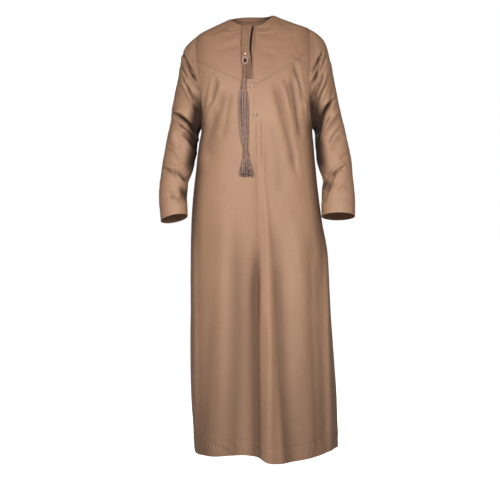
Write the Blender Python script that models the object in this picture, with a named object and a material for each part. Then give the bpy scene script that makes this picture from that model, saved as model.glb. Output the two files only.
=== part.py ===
"""A collarless long-sleeved thobe of plain cloth, hollow and held in its worn pose.

The tables are in millimetres and the meshes in metres. Z is up and the front faces -Y.
The origin is the middle of the neck opening, level with the inner ends of the shoulder
seams, where the shoulders carry the garment.

The body is one smooth form, read by its turn in degrees (0 is the front, 90 the right side
of a front view, 180 the back) and its height. Each panel is a patch of that form between its
own seams, and what lies on a panel is made from the panel's points, moved out.
"""
import math
from collections import namedtuple

import bmesh
import bpy
import numpy as np

MM = 0.001

# Cloth and seams
CLOTH = 1.6
STRIP_CLOTH = 1.0
STRIP_REST = 0.65
SEAM_GAP = 0.3

# Colours
BODY_COLOUR = (0.33, 0.19, 0.115)
YOKE_COLOUR = (0.31, 0.17, 0.105)
TRIM_COLOUR = (0.27, 0.155, 0.095)
SILK_COLOUR = (0.23, 0.155, 0.13)
BEAD_COLOUR = (0.75, 0.6, 0.45)

# How dull each finish is, and the angle past which an edge shows sharp
CLOTH_ROUGHNESS = 0.55
BUTTON_ROUGHNESS = 0.5
SILK_ROUGHNESS = 0.5
KNOT_ROUGHNESS = 0.6
BEAD_ROUGHNESS = 0.25
SHARP_ANGLE = 40.0

# The hem's height round the form, which dips where the front swings out beside its deep crease
HemPoint = namedtuple("HemPoint", "turn z")
HEM = (
    HemPoint(-90, -1426), HemPoint(-64, -1428), HemPoint(-43, -1425), HemPoint(-29, -1419),
    HemPoint(-14, -1417), HemPoint(-6, -1424), HemPoint(-1, -1437), HemPoint(9, -1443),
    HemPoint(24, -1435), HemPoint(53, -1418), HemPoint(66, -1410), HemPoint(90, -1412),
    HemPoint(114, -1416), HemPoint(180, -1422), HemPoint(246, -1425), HemPoint(270, -1426),
)

# The body form: where the cloth stands at each height, left and right, in front and behind
SQUARENESS = 0.24
BodyRow = namedtuple("BodyRow", "z left right front back")
BODY = (
    BodyRow(-1500, -186, 284, 218, 176),
    BodyRow(-1393, -191, 285, 209, 170),
    BodyRow(-1260, -199, 282, 198, 162),
    BodyRow(-1096, -202, 270, 185, 152),
    BodyRow(-930, -200, 257, 172, 142),
    BodyRow(-766, -200, 244, 162, 133),
    BodyRow(-600, -194, 223, 155, 120),
    BodyRow(-469, -179, 209, 150, 112),
    BodyRow(-420, -173, 205, 149, 113),
    BodyRow(-366, -165, 201, 148, 116),
    BodyRow(-330, -176, 208, 147, 118),
    BodyRow(-280, -190, 215, 144, 122),
    BodyRow(-220, -200, 219, 136, 124),
    BodyRow(-170, -203, 218, 125, 122),
    BodyRow(-120, -198, 212, 110, 117),
    BodyRow(-80, -187, 203, 94, 109),
    BodyRow(-58, -175, 196, 84, 102),
    BodyRow(-46, -156, 192, 76, 96),
    BodyRow(-33, -130, 182, 67, 88),
    BodyRow(-20, -103, 145, 57, 79),
    BodyRow(-7, -77, 109, 46, 67),
    BodyRow(0, -65, 91, 40, 60),
    BodyRow(7, -53, 74, 34, 53),
    BodyRow(20, -34, 43, 24, 40),
)

# The armholes: an oval round each side of the form, from the shoulder tip to the underarm
ARMHOLE_TOP = {-1: -57.0, 1: -32.0}
ARMHOLE_BOTTOM = -366.0
ARMHOLE_FRONT_REACH = 32.0
ARMHOLE_LOW_SWELL = 5.0
ARMHOLE_BACK_REACH = 28.0
YOKE_END_AROUND = {-1: 67.0, 1: 61.0}
GORE_TOP_AROUND = 172.0
GORE_TOP_MIDDLE_AROUND = 176.0

# The gores: half their width at the hem, in degrees of the form, before and behind the side
GORE_HEM_FRONT = 26.0
GORE_HEM_BACK = 24.0
GORE_SPREAD = 0.75
TOP_HOLD = 3.0

# The neck: the neckline's oval in a view from above, and the band's free edge over it
NECK_X = {-1: -77.0, 1: 76.0}
NECK_FRONT_Y = 73.0
NECK_BACK_Y = 62.0
NECK_LOWEST_Z = -90.0
NECK_HIGHEST_Z = 18.0
ON_THE_EDGE = 0.000001
NECK_SEARCH_STEPS = 40
BAND_LEAN_SIDE = 12.0
BAND_LEAN_FRONT = 5.0
BAND_LEAN_BACK = 6.0
BAND_SIDE_Z = {-1: -3.5, 1: 8.0}
BAND_FRONT_Z = -35.0
BAND_BACK_Z = 11.0
BAND_DIP = 1.2
BAND_ROUND = 0.6

# The yoke: its V seam between the armholes, and the slit down its middle
SeamPoint = namedtuple("SeamPoint", "x z")
YOKE_LEFT_LIMB = (SeamPoint(-148, -167), SeamPoint(-92, -196), SeamPoint(-43, -219))
YOKE_POINT = SeamPoint(21, -232)
YOKE_RIGHT_LIMB = (SeamPoint(67, -203), SeamPoint(114, -177), SeamPoint(157, -141))
SLIT_HALF = 1.5
SLIT_BOTTOM_Z = -220.0

# The placket: two strips that meet over the slit
PlacketRow = namedtuple("PlacketRow", "z outer_left outer_right under_left under_right gape")
PLACKET = (
    PlacketRow(-218, -29, 1, -8, 6, 0.0),
    PlacketRow(-190, -31, 0, -9, 6, 0.0),
    PlacketRow(-150, -32, -5, -11, 6, 0.3),
    PlacketRow(-120, -32, -5, -11, 8, 1.6),
    PlacketRow(-80, -32, -2, -9, 9, 2.2),
    PlacketRow(-36, -31, 3, -6, 9, 1.2),
)
PLACKET_BOTTOM_Z = -216.0
PLACKET_TOP_Z = -36.5
PLACKET_COLUMN_LEFT_X = -36.0
NECKBAND_END_X = {-1: -34.0, 1: 12.0}
STRIP_TURN_UP = 2.0

# Folds of the body: soft ridges (height above 0) and troughs (below 0), as lines across a
# front or back view, with the sideways bow of their middles
Fold = namedtuple("Fold", "side x0 z0 x1 z1 bow width height")
BODY_FOLDS = (
    # centre front, below the lower button, down to the hem
    Fold("front", 13, -350, 22, -1520, -6, 15, -11),
    Fold("front", 46, -420, 66, -1560, 4, 17, 5),
    Fold("front", 66, -900, 86, -1640, 0, 44, 11),
    Fold("front", 30, -366, 96, -1240, 6, 18, -5),
    Fold("front", 186, -800, 206, -1130, 0, 20, -4),
    Fold("front", -78, -600, -128, -1400, 4, 24, 5),
    Fold("front", -40, -760, -52, -1540, 0, 22, -5),
    Fold("front", 120, -900, 138, -1560, 0, 26, 5),
    Fold("front", -168, -900, -160, -1560, 0, 20, -4),
    # from the chest to the underarms
    Fold("front", -88, -240, -156, -480, -8, 16, -6),
    Fold("front", -115, -212, -132, -300, 0, 11, -4),
    Fold("front", -112, -260, -172, -520, -6, 16, 4),
    Fold("front", 70, -212, 118, -390, 4, 13, -4),
    Fold("front", 119, -200, 166, -390, 6, 13, -5),
    Fold("front", 132, -160, 172, -300, 6, 12, -5),
    Fold("front", 96, -210, 146, -400, 5, 12, 4),
    # the back: the same kinds of fold from the shoulder blades down
    Fold("back", 6, -240, 20, -1560, 8, 24, -8),
    Fold("back", 74, -420, 96, -1560, 6, 24, 7),
    Fold("back", -62, -380, -84, -1560, -4, 24, 7),
    Fold("back", 132, -520, 160, -1560, 4, 20, -6),
    Fold("back", -118, -500, -134, -1560, 0, 20, -6),
    Fold("back", 120, -180, 168, -420, 8, 14, -5),
    Fold("back", -108, -190, -158, -430, -8, 14, -5),
    Fold("back", 84, -200, 132, -470, 6, 14, -4),
    Fold("back", -70, -210, -116, -480, -6, 14, -4),
)
FOLD_FADE = 0.22

# The sleeves: the outer and inner edge of each section in a front view, the depth of its
# middle and half its depth, and how far its front is tipped up
SleeveRow = namedtuple("SleeveRow", "outer_x outer_z inner_x inner_z middle_y half_depth tip")
LEFT_SLEEVE = (
    SleeveRow(-208, -86, -169, -373, 2, 82, 0),
    SleeveRow(-228, -119, -171, -379, 4, 82, 0),
    SleeveRow(-238, -172, -173, -386, 7, 81, 0),
    SleeveRow(-250, -231, -175, -396, 11, 78, 0),
    SleeveRow(-261, -286, -177, -408, 15, 75, 0),
    SleeveRow(-268, -340, -178, -424, 16, 71, 2),
    SleeveRow(-280, -398, -180, -444, 12, 67, 4),
    SleeveRow(-289, -452, -186, -469, 2, 64, 7),
    SleeveRow(-297, -504, -193, -502, -11, 61, 9),
    SleeveRow(-302, -552, -206, -542, -25, 58, 10),
    SleeveRow(-302, -606, -210, -592, -40, 55, 11),
    SleeveRow(-296, -672, -208, -654, -56, 52, 12),
)
RIGHT_SLEEVE = (
    SleeveRow(215, -52, 205, -372, 2, 82, 0),
    SleeveRow(241, -79, 207, -378, 4, 82, 0),
    SleeveRow(256, -125, 208, -385, 7, 81, 0),
    SleeveRow(269, -185, 209, -394, 11, 78, 0),
    SleeveRow(281, -244, 210, -405, 15, 75, 0),
    SleeveRow(293, -300, 211, -420, 16, 71, 2),
    SleeveRow(307, -362, 213, -440, 12, 67, 4),
    SleeveRow(319, -420, 215, -466, 2, 64, 7),
    SleeveRow(329, -474, 221, -498, -11, 61, 9),
    SleeveRow(333, -530, 233, -534, -25, 58, 10),
    SleeveRow(338, -590, 229, -578, -40, 56, 11),
    SleeveRow(338, -656, 228, -656, -58, 55, 12),
)
SLEEVES = {-1: LEFT_SLEEVE, 1: RIGHT_SLEEVE}
SLEEVE_SQUARENESS = 0.12
SLEEVE_FOLDS = {
    -1: (
        Fold("front", -222, -140, -178, -205, 0, 10, -5),
        Fold("front", -196, -195, -160, -255, 0, 10, -6),
        Fold("front", -228, -205, -190, -275, 4, 10, 4),
        Fold("front", -196, -262, -166, -320, 0, 10, 4),
        Fold("front", -262, -318, -176, -400, 10, 11, -8),
        Fold("front", -224, -362, -172, -420, 4, 10, 5),
        Fold("front", -292, -488, -238, -525, 4, 11, -4),
        Fold("front", -258, -500, -206, -560, 6, 11, -5),
        Fold("front", -276, -572, -222, -606, 0, 11, -4),
        Fold("back", -226, -160, -172, -250, -4, 12, -6),
        Fold("back", -236, -230, -178, -320, -4, 12, 5),
        Fold("back", -266, -330, -180, -392, -8, 12, -7),
        Fold("back", -284, -400, -190, -440, -6, 12, 5),
        Fold("back", -296, -520, -226, -566, 0, 12, -4),
    ),
    1: (
        Fold("front", 228, -118, 190, -178, 0, 11, -6),
        Fold("front", 222, -160, 184, -222, 0, 11, 5),
        Fold("front", 220, -182, 186, -238, 0, 10, -5),
        Fold("front", 236, -200, 194, -282, -4, 11, -6),
        Fold("front", 274, -268, 212, -396, -12, 12, -9),
        Fold("front", 290, -300, 228, -420, -12, 11, 5),
        Fold("front", 306, -482, 254, -520, -6, 11, -5),
        Fold("front", 284, -486, 240, -512, 0, 10, 4),
        Fold("front", 268, -526, 244, -566, 0, 10, -4),
        Fold("back", 244, -150, 190, -240, 4, 12, -6),
        Fold("back", 256, -220, 198, -320, 4, 12, 5),
        Fold("back", 288, -320, 212, -392, 8, 12, -7),
        Fold("back", 306, -400, 226, -440, 6, 12, 5),
        Fold("back", 326, -510, 250, -560, 0, 12, -4),
    ),
}

# How many cells each length of cloth has
SIDE_CELLS = 16
HEM_CELLS = (7, 2, 1, 2, 9)
YOKE_ARMHOLE_CELLS = 4
PANEL_ARMHOLE_CELLS = 6
SHOULDER_CELLS = 5
BACK_CELLS = 16
GORE_CELLS = 4
SLEEVE_CELLS_PER_SECTION = 2
PLACKET_CELLS = (12, 4)

# A covered button's half outline, from its foot to its crown, as a share of its radius and a height
ButtonPoint = namedtuple("ButtonPoint", "share height")
BUTTON_OUTLINE = (
    ButtonPoint(0, 0), ButtonPoint(0.86, 0), ButtonPoint(1, 0.8), ButtonPoint(0.96, 1.9),
    ButtonPoint(0.7, 2.7), ButtonPoint(0, 3.0),
)

# Buttons, bead, knot and tassel
BUTTON_PLACES = (("button_upper", SeamPoint(3, -243)), ("button_lower", SeamPoint(12, -332)))
BUTTON_RADIUS = 6.0
BUTTON_SIDES = 20
BEAD_PLACE = SeamPoint(-19.5, -136)
BEAD_RADIUS = 4.3
BEAD_RINGS = 9
BEAD_SIDES = 16
KNOT_PLACE = SeamPoint(-8, -151)
KNOT_RADIUS = 3.6
KNOT_RINGS = 7
KNOT_SIDES = 12
RING_PLACE = SeamPoint(-20.5, -157)
RING_HALF_WIDTH = 8.1
RING_HALF_HEIGHT = 10.6
RING_WIRE = 2.2
RING_HANG = 0.4
RING_LINKS = 20
RING_SIDES = 8
BRAID_SIDES = 10
TASSEL_KNOT_SIDES = 12
TASSEL_LINE = (SeamPoint(-21, -150), SeamPoint(-22, -200), SeamPoint(-26, -250), SeamPoint(-25, -320),
               SeamPoint(-21, -420), SeamPoint(-18, -470), SeamPoint(-17, -530))

# The tassel's solid lengths: half their width and depth, and how far they lie off the cloth
TasselRow = namedtuple("TasselRow", "z half_width half_depth clear")
CORD = (
    TasselRow(-171, 3.4, 2.2, 3.0), TasselRow(-185, 4.4, 2.6, 3.0), TasselRow(-205, 5.2, 3.0, 3.0),
    TasselRow(-218, 6.2, 3.6, 2.6), TasselRow(-230, 7.4, 4.4, 1.6), TasselRow(-238, 7.4, 4.6, 1.2),
)
TOP_KNOT = (
    TasselRow(-238.4, 6.6, 4.6, 1.2), TasselRow(-242, 8.4, 5.6, 0.8), TasselRow(-247, 8.8, 5.8, 0.8),
    TasselRow(-251, 7.6, 5.2, 1.2),
)
LOWER_KNOT = (
    TasselRow(-426.8, 8.6, 5.0, 1.0), TasselRow(-440, 7.6, 4.8, 1.0), TasselRow(-452, 7.6, 4.8, 1.0),
    TasselRow(-458, 9.4, 5.8, 0.8), TasselRow(-465, 9.6, 6.0, 0.8), TasselRow(-469, 8.4, 5.2, 1.0),
)

# Its strands: the backing at their head, and the size that each has left of its own cell
StrandRow = namedtuple("StrandRow", "z half_width half_depth clear size")
STRANDS = (
    StrandRow(-255.4, 10.0, 4.6, 1.2, 1.00), StrandRow(-272, 13.0, 4.8, 1.2, 0.95),
    StrandRow(-320, 14.5, 4.6, 1.2, 0.90), StrandRow(-380, 12.5, 4.4, 1.2, 0.90),
    StrandRow(-426.4, 9.0, 4.4, 1.2, 0.90),
)
FRINGE = (
    StrandRow(-473.4, 10.0, 5.0, 1.2, 1.00), StrandRow(-488, 14.5, 5.2, 1.2, 0.92),
    StrandRow(-508, 19.5, 5.4, 1.2, 0.86), StrandRow(-529, 23.0, 5.6, 1.2, 0.80),
)
STRAND_COUNTS = {"tassel_strands": (9, 2), "tassel_fringe": (12, 3)}
STRAND_MARGIN = 0.16
BACKING = 4.0

# Steps to either side that give a surface's outward direction
FORM_STEPS = (0.2, 0.5)
BODY_STEPS = (0.3, 1.0)
SLEEVE_FORM_STEPS = (1.0, 0.05)
SLEEVE_STEPS = (1.5, 0.06)
SLEEVE_FOLDS_START = 1.6


def smooth(at, keys, values):
    """Values read off a smooth curve through the keys, which run from low to high."""
    keys = np.asarray(keys, float)
    values = np.asarray(values, float)
    slopes = np.gradient(values, keys)
    at = np.clip(np.asarray(at, float), keys[0], keys[-1])
    first = np.clip(np.searchsorted(keys, at, side="right") - 1, 0, len(keys) - 2)
    span = keys[first + 1] - keys[first]
    part = (at - keys[first]) / span
    start, end = values[first], values[first + 1]
    return ((2 * part**3 - 3 * part**2 + 1) * start + (3 * part**2 - 2 * part**3) * end
            + (part**3 - 2 * part**2 + part) * span * slopes[first]
            + (part**3 - part**2) * span * slopes[first + 1])


def column(rows, name):
    return [getattr(row, name) for row in rows]


def read(rows, name, z):
    """One column of a table of heights, read between its rows."""
    return smooth(z, column(rows, "z"), column(rows, name))


def body_form(turn, z):
    """A point of the body before its folds."""
    turn, z = np.broadcast_arrays(np.asarray(turn, float), np.asarray(z, float))
    across, ahead = np.sin(np.radians(turn)), np.cos(np.radians(turn))
    left, right = read(BODY, "left", z), read(BODY, "right", z)
    depth = np.where(ahead > 0, read(BODY, "front", z), read(BODY, "back", z))
    x = (left + right) / 2 + (right - left) / 2 * across
    y = -depth * ahead * (1 + SQUARENESS * across**2)
    return np.stack([x, y, z], axis=-1)


def turn_at(x, z):
    """The turn of the front point at this place of a front view."""
    left, right = read(BODY, "left", z), read(BODY, "right", z)
    return np.degrees(np.arcsin(np.clip((2 * np.asarray(x, float) - left - right) / (right - left), -1, 1)))


def unit(vectors):
    return vectors / np.linalg.norm(vectors, axis=-1, keepdims=True)


def facing(surface, first, second, first_step, second_step):
    """The outward direction of a surface, from its points just beside."""
    along = surface(first + first_step, second) - surface(first - first_step, second)
    upward = surface(first, second + second_step) - surface(first, second - second_step)
    return unit(np.cross(along, upward))


def ease(part):
    part = np.clip(part, 0, 1)
    return part * part * (3 - 2 * part)


def fold_lift(folds, x, z, frontness):
    """How far the folds raise the cloth at a place of a front view."""
    lift = np.zeros(np.shape(x))
    for fold in folds:
        run_x, run_z = fold.x1 - fold.x0, fold.z1 - fold.z0
        length = math.hypot(run_x, run_z)
        along = ((x - fold.x0) * run_x + (z - fold.z0) * run_z) / length**2
        aside = ((z - fold.z0) * run_x - (x - fold.x0) * run_z) / length
        aside = aside - fold.bow * np.sin(np.pi * np.clip(along, 0, 1))
        seen = frontness if fold.side == "front" else 1 - frontness
        ends = ease(along / FOLD_FADE) * ease((1 - along) / FOLD_FADE)
        lift = lift + fold.height * np.exp(-((aside / fold.width) ** 2)) * ends * seen
    return lift


def body_surface(turn, z):
    """A point of the body's outer face, folds included."""
    turn, z = np.broadcast_arrays(np.asarray(turn, float), np.asarray(z, float))
    point = body_form(turn, z)
    frontness = ease(0.5 + 1.5 * np.cos(np.radians(turn)))
    lift = fold_lift(BODY_FOLDS, point[..., 0], point[..., 2], frontness)
    return point + facing(body_form, turn, z, *FORM_STEPS) * lift[..., None]


def body_facing(turn, z):
    return facing(body_surface, np.asarray(turn, float), np.asarray(z, float), *BODY_STEPS)


def armhole(side, around, behind=False):
    """Turn and height on an armhole, from 0 at the shoulder tip to 180 at the underarm."""
    angle = np.radians(around)
    top = ARMHOLE_TOP[side]
    z = (top + ARMHOLE_BOTTOM) / 2 + (top - ARMHOLE_BOTTOM) / 2 * np.cos(angle)
    if behind:
        turn = side * (90 + ARMHOLE_BACK_REACH * np.sin(angle))
    else:
        reach = ARMHOLE_FRONT_REACH - ARMHOLE_LOW_SWELL * np.cos(angle)
        turn = side * (90 - reach * np.sin(angle))
    return np.stack(np.broadcast_arrays(turn, z), axis=-1)


def armhole_stops(side):
    """The places round an armhole where its panels and the sleeve share their corners."""
    upper = np.linspace(0, YOKE_END_AROUND[side], YOKE_ARMHOLE_CELLS + 1)
    lower = np.linspace(YOKE_END_AROUND[side], GORE_TOP_AROUND, PANEL_ARMHOLE_CELLS + 1)
    behind = np.linspace(0, GORE_TOP_AROUND, YOKE_ARMHOLE_CELLS + PANEL_ARMHOLE_CELLS + 1)
    return upper, lower, behind


def hem_line(turn):
    """Turn and height along the hem."""
    round_turn = (np.asarray(turn, float) + 90) % 360 - 90
    return np.stack([turn, smooth(round_turn, column(HEM, "turn"), column(HEM, "z"))], axis=-1)


def side_seam(side, behind):
    """Turn and height up the seam between a gore and a panel, from the hem to the underarm."""
    top_turn, top_z = armhole(side, GORE_TOP_AROUND, behind)
    hem_turn, hem_z = hem_line(side * (90 + GORE_HEM_BACK) if behind else side * (90 - GORE_HEM_FRONT))
    z = np.linspace(hem_z, top_z, SIDE_CELLS + 1)
    down = (top_z - z) / (top_z - hem_z)
    return np.stack([top_turn + (hem_turn - top_turn) * down**GORE_SPREAD, z], axis=-1)


def half_gap_turn(z):
    """Half a seam's gap, as degrees of turn near the sides of the form."""
    depth = np.minimum(read(BODY, "front", z), read(BODY, "back", z))
    return np.degrees(SEAM_GAP / 2 / depth)


def neck_around(x):
    """The angle round the neck's oval of a front place."""
    middle, half = (NECK_X[1] + NECK_X[-1]) / 2, (NECK_X[1] - NECK_X[-1]) / 2
    return math.degrees(math.asin((x - middle) / half))


def neckline(around):
    """Turn and height of the neckline, where its oval meets the body form."""
    angle = np.radians(around)
    x = (NECK_X[1] + NECK_X[-1]) / 2 + (NECK_X[1] - NECK_X[-1]) / 2 * np.sin(angle)
    front = np.cos(angle) > 0
    depth = np.abs(np.where(front, NECK_FRONT_Y, NECK_BACK_Y) * np.cos(angle))
    low, high = np.full(x.shape, NECK_LOWEST_Z), np.full(x.shape, NECK_HIGHEST_Z)
    for _ in range(NECK_SEARCH_STEPS):
        z = (low + high) / 2
        turn = turn_at(x, z)
        too_high = np.abs(body_form(np.where(front, turn, 180 - turn), z)[..., 1]) <= depth + ON_THE_EDGE
        high = np.where(too_high, z, high)
        low = np.where(too_high, low, z)
    turn = turn_at(x, low)
    return np.stack([np.where(front, turn, 180 - turn), z], axis=-1)


def patch(bottom, top, left, right, hold=1.0):
    """Turn and height over a panel, filled in between its four edges.

    A hold above 1 keeps the shape of the top edge near the top.
    """
    across = np.linspace(0, 1, len(bottom))[None, :, None]
    up = np.linspace(0, 1, len(left))[:, None, None] ** hold
    corners = ((1 - across) * (1 - up) * bottom[0] + across * (1 - up) * bottom[-1]
               + (1 - across) * up * top[0] + across * up * top[-1])
    return ((1 - up) * bottom[None] + up * top[None]
            + (1 - across) * left[:, None] + across * right[:, None] - corners)


def make_object(name, bm, colour, roughness):
    """One named piece with its own material."""
    bmesh.ops.recalc_face_normals(bm, faces=bm.faces)
    mesh = bpy.data.meshes.new(name)
    bm.to_mesh(mesh)
    bm.free()
    mesh.shade_smooth()
    mesh.set_sharp_from_angle(angle=math.radians(SHARP_ANGLE))
    material = bpy.data.materials.new(name)
    material.use_nodes = True
    shader = material.node_tree.nodes["Principled BSDF"]
    shader.inputs["Base Color"].default_value = (*colour, 1.0)
    shader.inputs["Roughness"].default_value = roughness
    shader.inputs["Metallic"].default_value = 0.0
    mesh.materials.append(material)
    piece = bpy.data.objects.new(name, mesh)
    bpy.context.scene.collection.objects.link(piece)
    return piece


def cloth_wall(name, outer, inner, colour, kept=None, ring=False):
    """A closed wall of cloth between two grids of points, open where kept is False."""
    rows, columns = outer.shape[:2]
    spans = columns if ring else columns - 1
    if kept is None:
        kept = np.ones((rows - 1, spans), bool)
    bm = bmesh.new()
    layers = []
    for grid in (outer, inner):
        layers.append([bm.verts.new(point) for point in grid.reshape(-1, 3) * MM])
    count = rows * columns
    bm.verts.index_update()
    for row in range(rows - 1):
        for span in range(spans):
            if kept[row, span]:
                after = (span + 1) % columns
                cell = (row * columns + span, row * columns + after,
                        (row + 1) * columns + after, (row + 1) * columns + span)
                bm.faces.new([layers[0][corner] for corner in cell])
                bm.faces.new([layers[1][corner] for corner in reversed(cell)])
    rims = []
    for edge in bm.edges:
        if edge.is_boundary and edge.verts[0].index < count and edge.verts[1].index < count:
            rims.append([vert.index for vert in edge.verts])
    for start, end in rims:
        bm.faces.new([layers[0][start], layers[0][end], layers[1][end], layers[1][start]])
    loose = [vert for vert in bm.verts if not vert.link_faces]
    bmesh.ops.delete(bm, geom=loose, context="VERTS")
    return make_object(name, bm, colour, CLOTH_ROUGHNESS)


def body_panel(name, places, colour, kept=None):
    """A wall of the body's cloth over a patch of turns and heights."""
    turn, z = places[..., 0], places[..., 1]
    outer = body_surface(turn, z)
    return cloth_wall(name, outer, outer - body_facing(turn, z) * CLOTH, colour, kept)


def spread(stops, cells):
    """Values from stop to stop, evenly in each stretch of so many cells."""
    values = [np.linspace(stops[i], stops[i + 1], cells[i] + 1)[:-1] for i in range(len(cells))]
    return np.append(np.concatenate(values), stops[-1])


def yoke_seam():
    """Turn and height along the V seam, from the left armhole to the right one."""
    ends = {side: armhole(side, YOKE_END_AROUND[side]) for side in (-1, 1)}
    end_x = {side: float(body_form(*ends[side])[0]) for side in (-1, 1)}
    left = (SeamPoint(end_x[-1], ends[-1][1]),) + YOKE_LEFT_LIMB + (YOKE_POINT,)
    right = (YOKE_POINT,) + YOKE_RIGHT_LIMB + (SeamPoint(end_x[1], ends[1][1]),)
    stops = (end_x[-1], PLACKET_COLUMN_LEFT_X, -SLIT_HALF, SLIT_HALF, YOKE_POINT.x, end_x[1])
    x = spread(stops, HEM_CELLS)
    z = np.where(x <= YOKE_POINT.x, smooth(x, column(left, "x"), column(left, "z")),
                 smooth(x, column(right, "x"), column(right, "z")))
    seam = np.stack([turn_at(x, z), z], axis=-1)
    seam[0], seam[-1] = ends[-1], ends[1]
    return seam


def front_neck_stops():
    """Places along the front neckline, with the slit and the placket's edges among them."""
    stops = [neck_around(x) for x in (NECKBAND_END_X[-1], -SLIT_HALF, SLIT_HALF, NECKBAND_END_X[1])]
    return spread([-90.0] + stops + [90.0], HEM_CELLS)


def shifted(places, turn=0.0, z=0.0):
    return places + np.stack(np.broadcast_arrays(turn, z), axis=-1)


def shoulder_seam(side):
    """Turn and height up the shoulder seam, from its tip to the neck."""
    neck_z = neckline(np.array([side * 90.0]))[0, 1]
    z = np.linspace(ARMHOLE_TOP[side], neck_z, SHOULDER_CELLS + 1)[1:]
    return np.stack([np.full(len(z), side * 90.0), z], axis=-1)


def make_front_panel():
    """The front: from the hem up to the V seam, between the gores and the armholes."""
    edges = {}
    for side in (-1, 1):
        seam = side_seam(side, False)
        seam = shifted(seam, -side * half_gap_turn(seam[:, 1]))
        lower = armhole_stops(side)[1][::-1]
        edges[side] = np.concatenate([seam[:-1], armhole(side, lower)])
        edges[side][len(seam) - 1, 0] -= side * half_gap_turn(ARMHOLE_BOTTOM)
        edges[side][-1, 1] -= SEAM_GAP / 2
    top = shifted(yoke_seam(), z=-SEAM_GAP / 2)
    bottom = hem_line(np.linspace(edges[-1][0, 0], edges[1][0, 0], len(top)))
    bottom[0], bottom[-1] = edges[-1][0], edges[1][0]
    body_panel("front_panel", patch(bottom, top, edges[-1], edges[1], TOP_HOLD), BODY_COLOUR)


def make_front_yoke():
    """The chest piece over the V seam, up to the shoulder seams, slit down the middle."""
    edges = {}
    for side in (-1, 1):
        upper = armhole(side, armhole_stops(side)[0][::-1])
        upper[0, 1] += SEAM_GAP / 2
        upper[-1, 0] -= side * half_gap_turn(ARMHOLE_TOP[side])
        seam = shoulder_seam(side)
        seam = shifted(seam, -side * half_gap_turn(seam[:, 1]))
        edges[side] = np.concatenate([upper, seam])
    bottom = shifted(yoke_seam(), z=SEAM_GAP / 2)
    top = neckline(front_neck_stops())
    top[0], top[-1] = edges[-1][-1], edges[1][-1]
    places = patch(bottom, top, edges[-1], edges[1])
    kept = np.ones((places.shape[0] - 1, places.shape[1] - 1), bool)
    slit = HEM_CELLS[0] + HEM_CELLS[1]
    kept[places[:-1, slit, 1] > SLIT_BOTTOM_Z, slit] = False
    body_panel("front_yoke", places, YOKE_COLOUR, kept)


def make_back_panel():
    """The back: from the hem to the shoulder seams and the back of the neck."""
    edges = {}
    for side in (-1, 1):
        seam = side_seam(side, True)
        seam = shifted(seam, side * half_gap_turn(seam[:, 1]))
        behind = armhole(side, armhole_stops(side)[2][::-1], True)
        behind[0, 0] += side * half_gap_turn(ARMHOLE_BOTTOM)
        behind[-1, 0] += side * half_gap_turn(ARMHOLE_TOP[side])
        shoulder = shoulder_seam(side)
        shoulder = shifted(shoulder, side * half_gap_turn(shoulder[:, 1]))
        edges[side] = np.concatenate([seam[:-1], behind, shoulder])
    edges[-1][:, 0] += 360
    top = neckline(np.linspace(90, 270, BACK_CELLS + 1))
    top[0], top[-1] = edges[1][-1], edges[-1][-1]
    bottom = hem_line(np.linspace(edges[1][0, 0], edges[-1][0, 0], BACK_CELLS + 1))
    bottom[0], bottom[-1] = edges[1][0], edges[-1][0]
    body_panel("back_panel", patch(bottom, top, edges[1], edges[-1]), BODY_COLOUR)


def make_gore(name, side):
    """A side panel, wide at the hem and narrow under the arm."""
    front, back = side_seam(side, False), side_seam(side, True)
    front = shifted(front, side * half_gap_turn(front[:, 1]))
    back = shifted(back, -side * half_gap_turn(back[:, 1]))
    if side < 0:
        front, back = back, front
    across = np.linspace(0, 1, GORE_CELLS + 1)[:, None]
    bottom = hem_line((front[0] * (1 - across) + back[0] * across)[:, 0])
    bottom[0], bottom[-1] = front[0], back[0]
    top = front[-1] * (1 - across) + back[-1] * across
    for cell, around, behind in ((1, GORE_TOP_MIDDLE_AROUND, side < 0), (2, 180.0, False),
                                 (3, GORE_TOP_MIDDLE_AROUND, side > 0)):
        top[cell] = armhole(side, around, behind)
    body_panel(name, patch(bottom, top, front, back, TOP_HOLD), BODY_COLOUR)


def sleeve_form(side, around, section):
    """A point of a sleeve before its folds, at section 0 on the armhole."""
    around, section = np.broadcast_arrays(np.asarray(around, float), np.asarray(section, float))
    front = np.sin(np.radians(around)) >= 0
    from_top = np.abs((around + 180) % 360 - 180)
    ahead, behind = armhole(side, from_top), armhole(side, from_top, True)
    place = np.where(front[..., None], ahead, behind)
    start = body_surface(place[..., 0], place[..., 1]) + np.array([side * SEAM_GAP, 0, 0])
    level, forward = np.cos(np.radians(around)), np.sin(np.radians(around))
    sections = [start]
    for row in SLEEVES[side]:
        x = (row.outer_x + row.inner_x) / 2 + (row.outer_x - row.inner_x) / 2 * level
        z = (row.outer_z + row.inner_z) / 2 + (row.outer_z - row.inner_z) / 2 * level + row.tip * forward
        y = row.middle_y - row.half_depth * forward * (1 + SLEEVE_SQUARENESS * level**2)
        sections.append(np.stack([x, y, z], axis=-1))
    keys = np.arange(len(sections), dtype=float)
    stacked = np.stack(sections)
    slopes = np.gradient(stacked, axis=0)
    first = np.clip(np.floor(section).astype(int), 0, len(sections) - 2)
    part = np.clip(section - first, 0, 1)[..., None]
    pick = (first,) + tuple(np.indices(first.shape))
    after = (first + 1,) + tuple(np.indices(first.shape))
    return ((2 * part**3 - 3 * part**2 + 1) * stacked[pick] + (3 * part**2 - 2 * part**3) * stacked[after]
            + (part**3 - 2 * part**2 + part) * slopes[pick] + (part**3 - part**2) * slopes[after])


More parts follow.
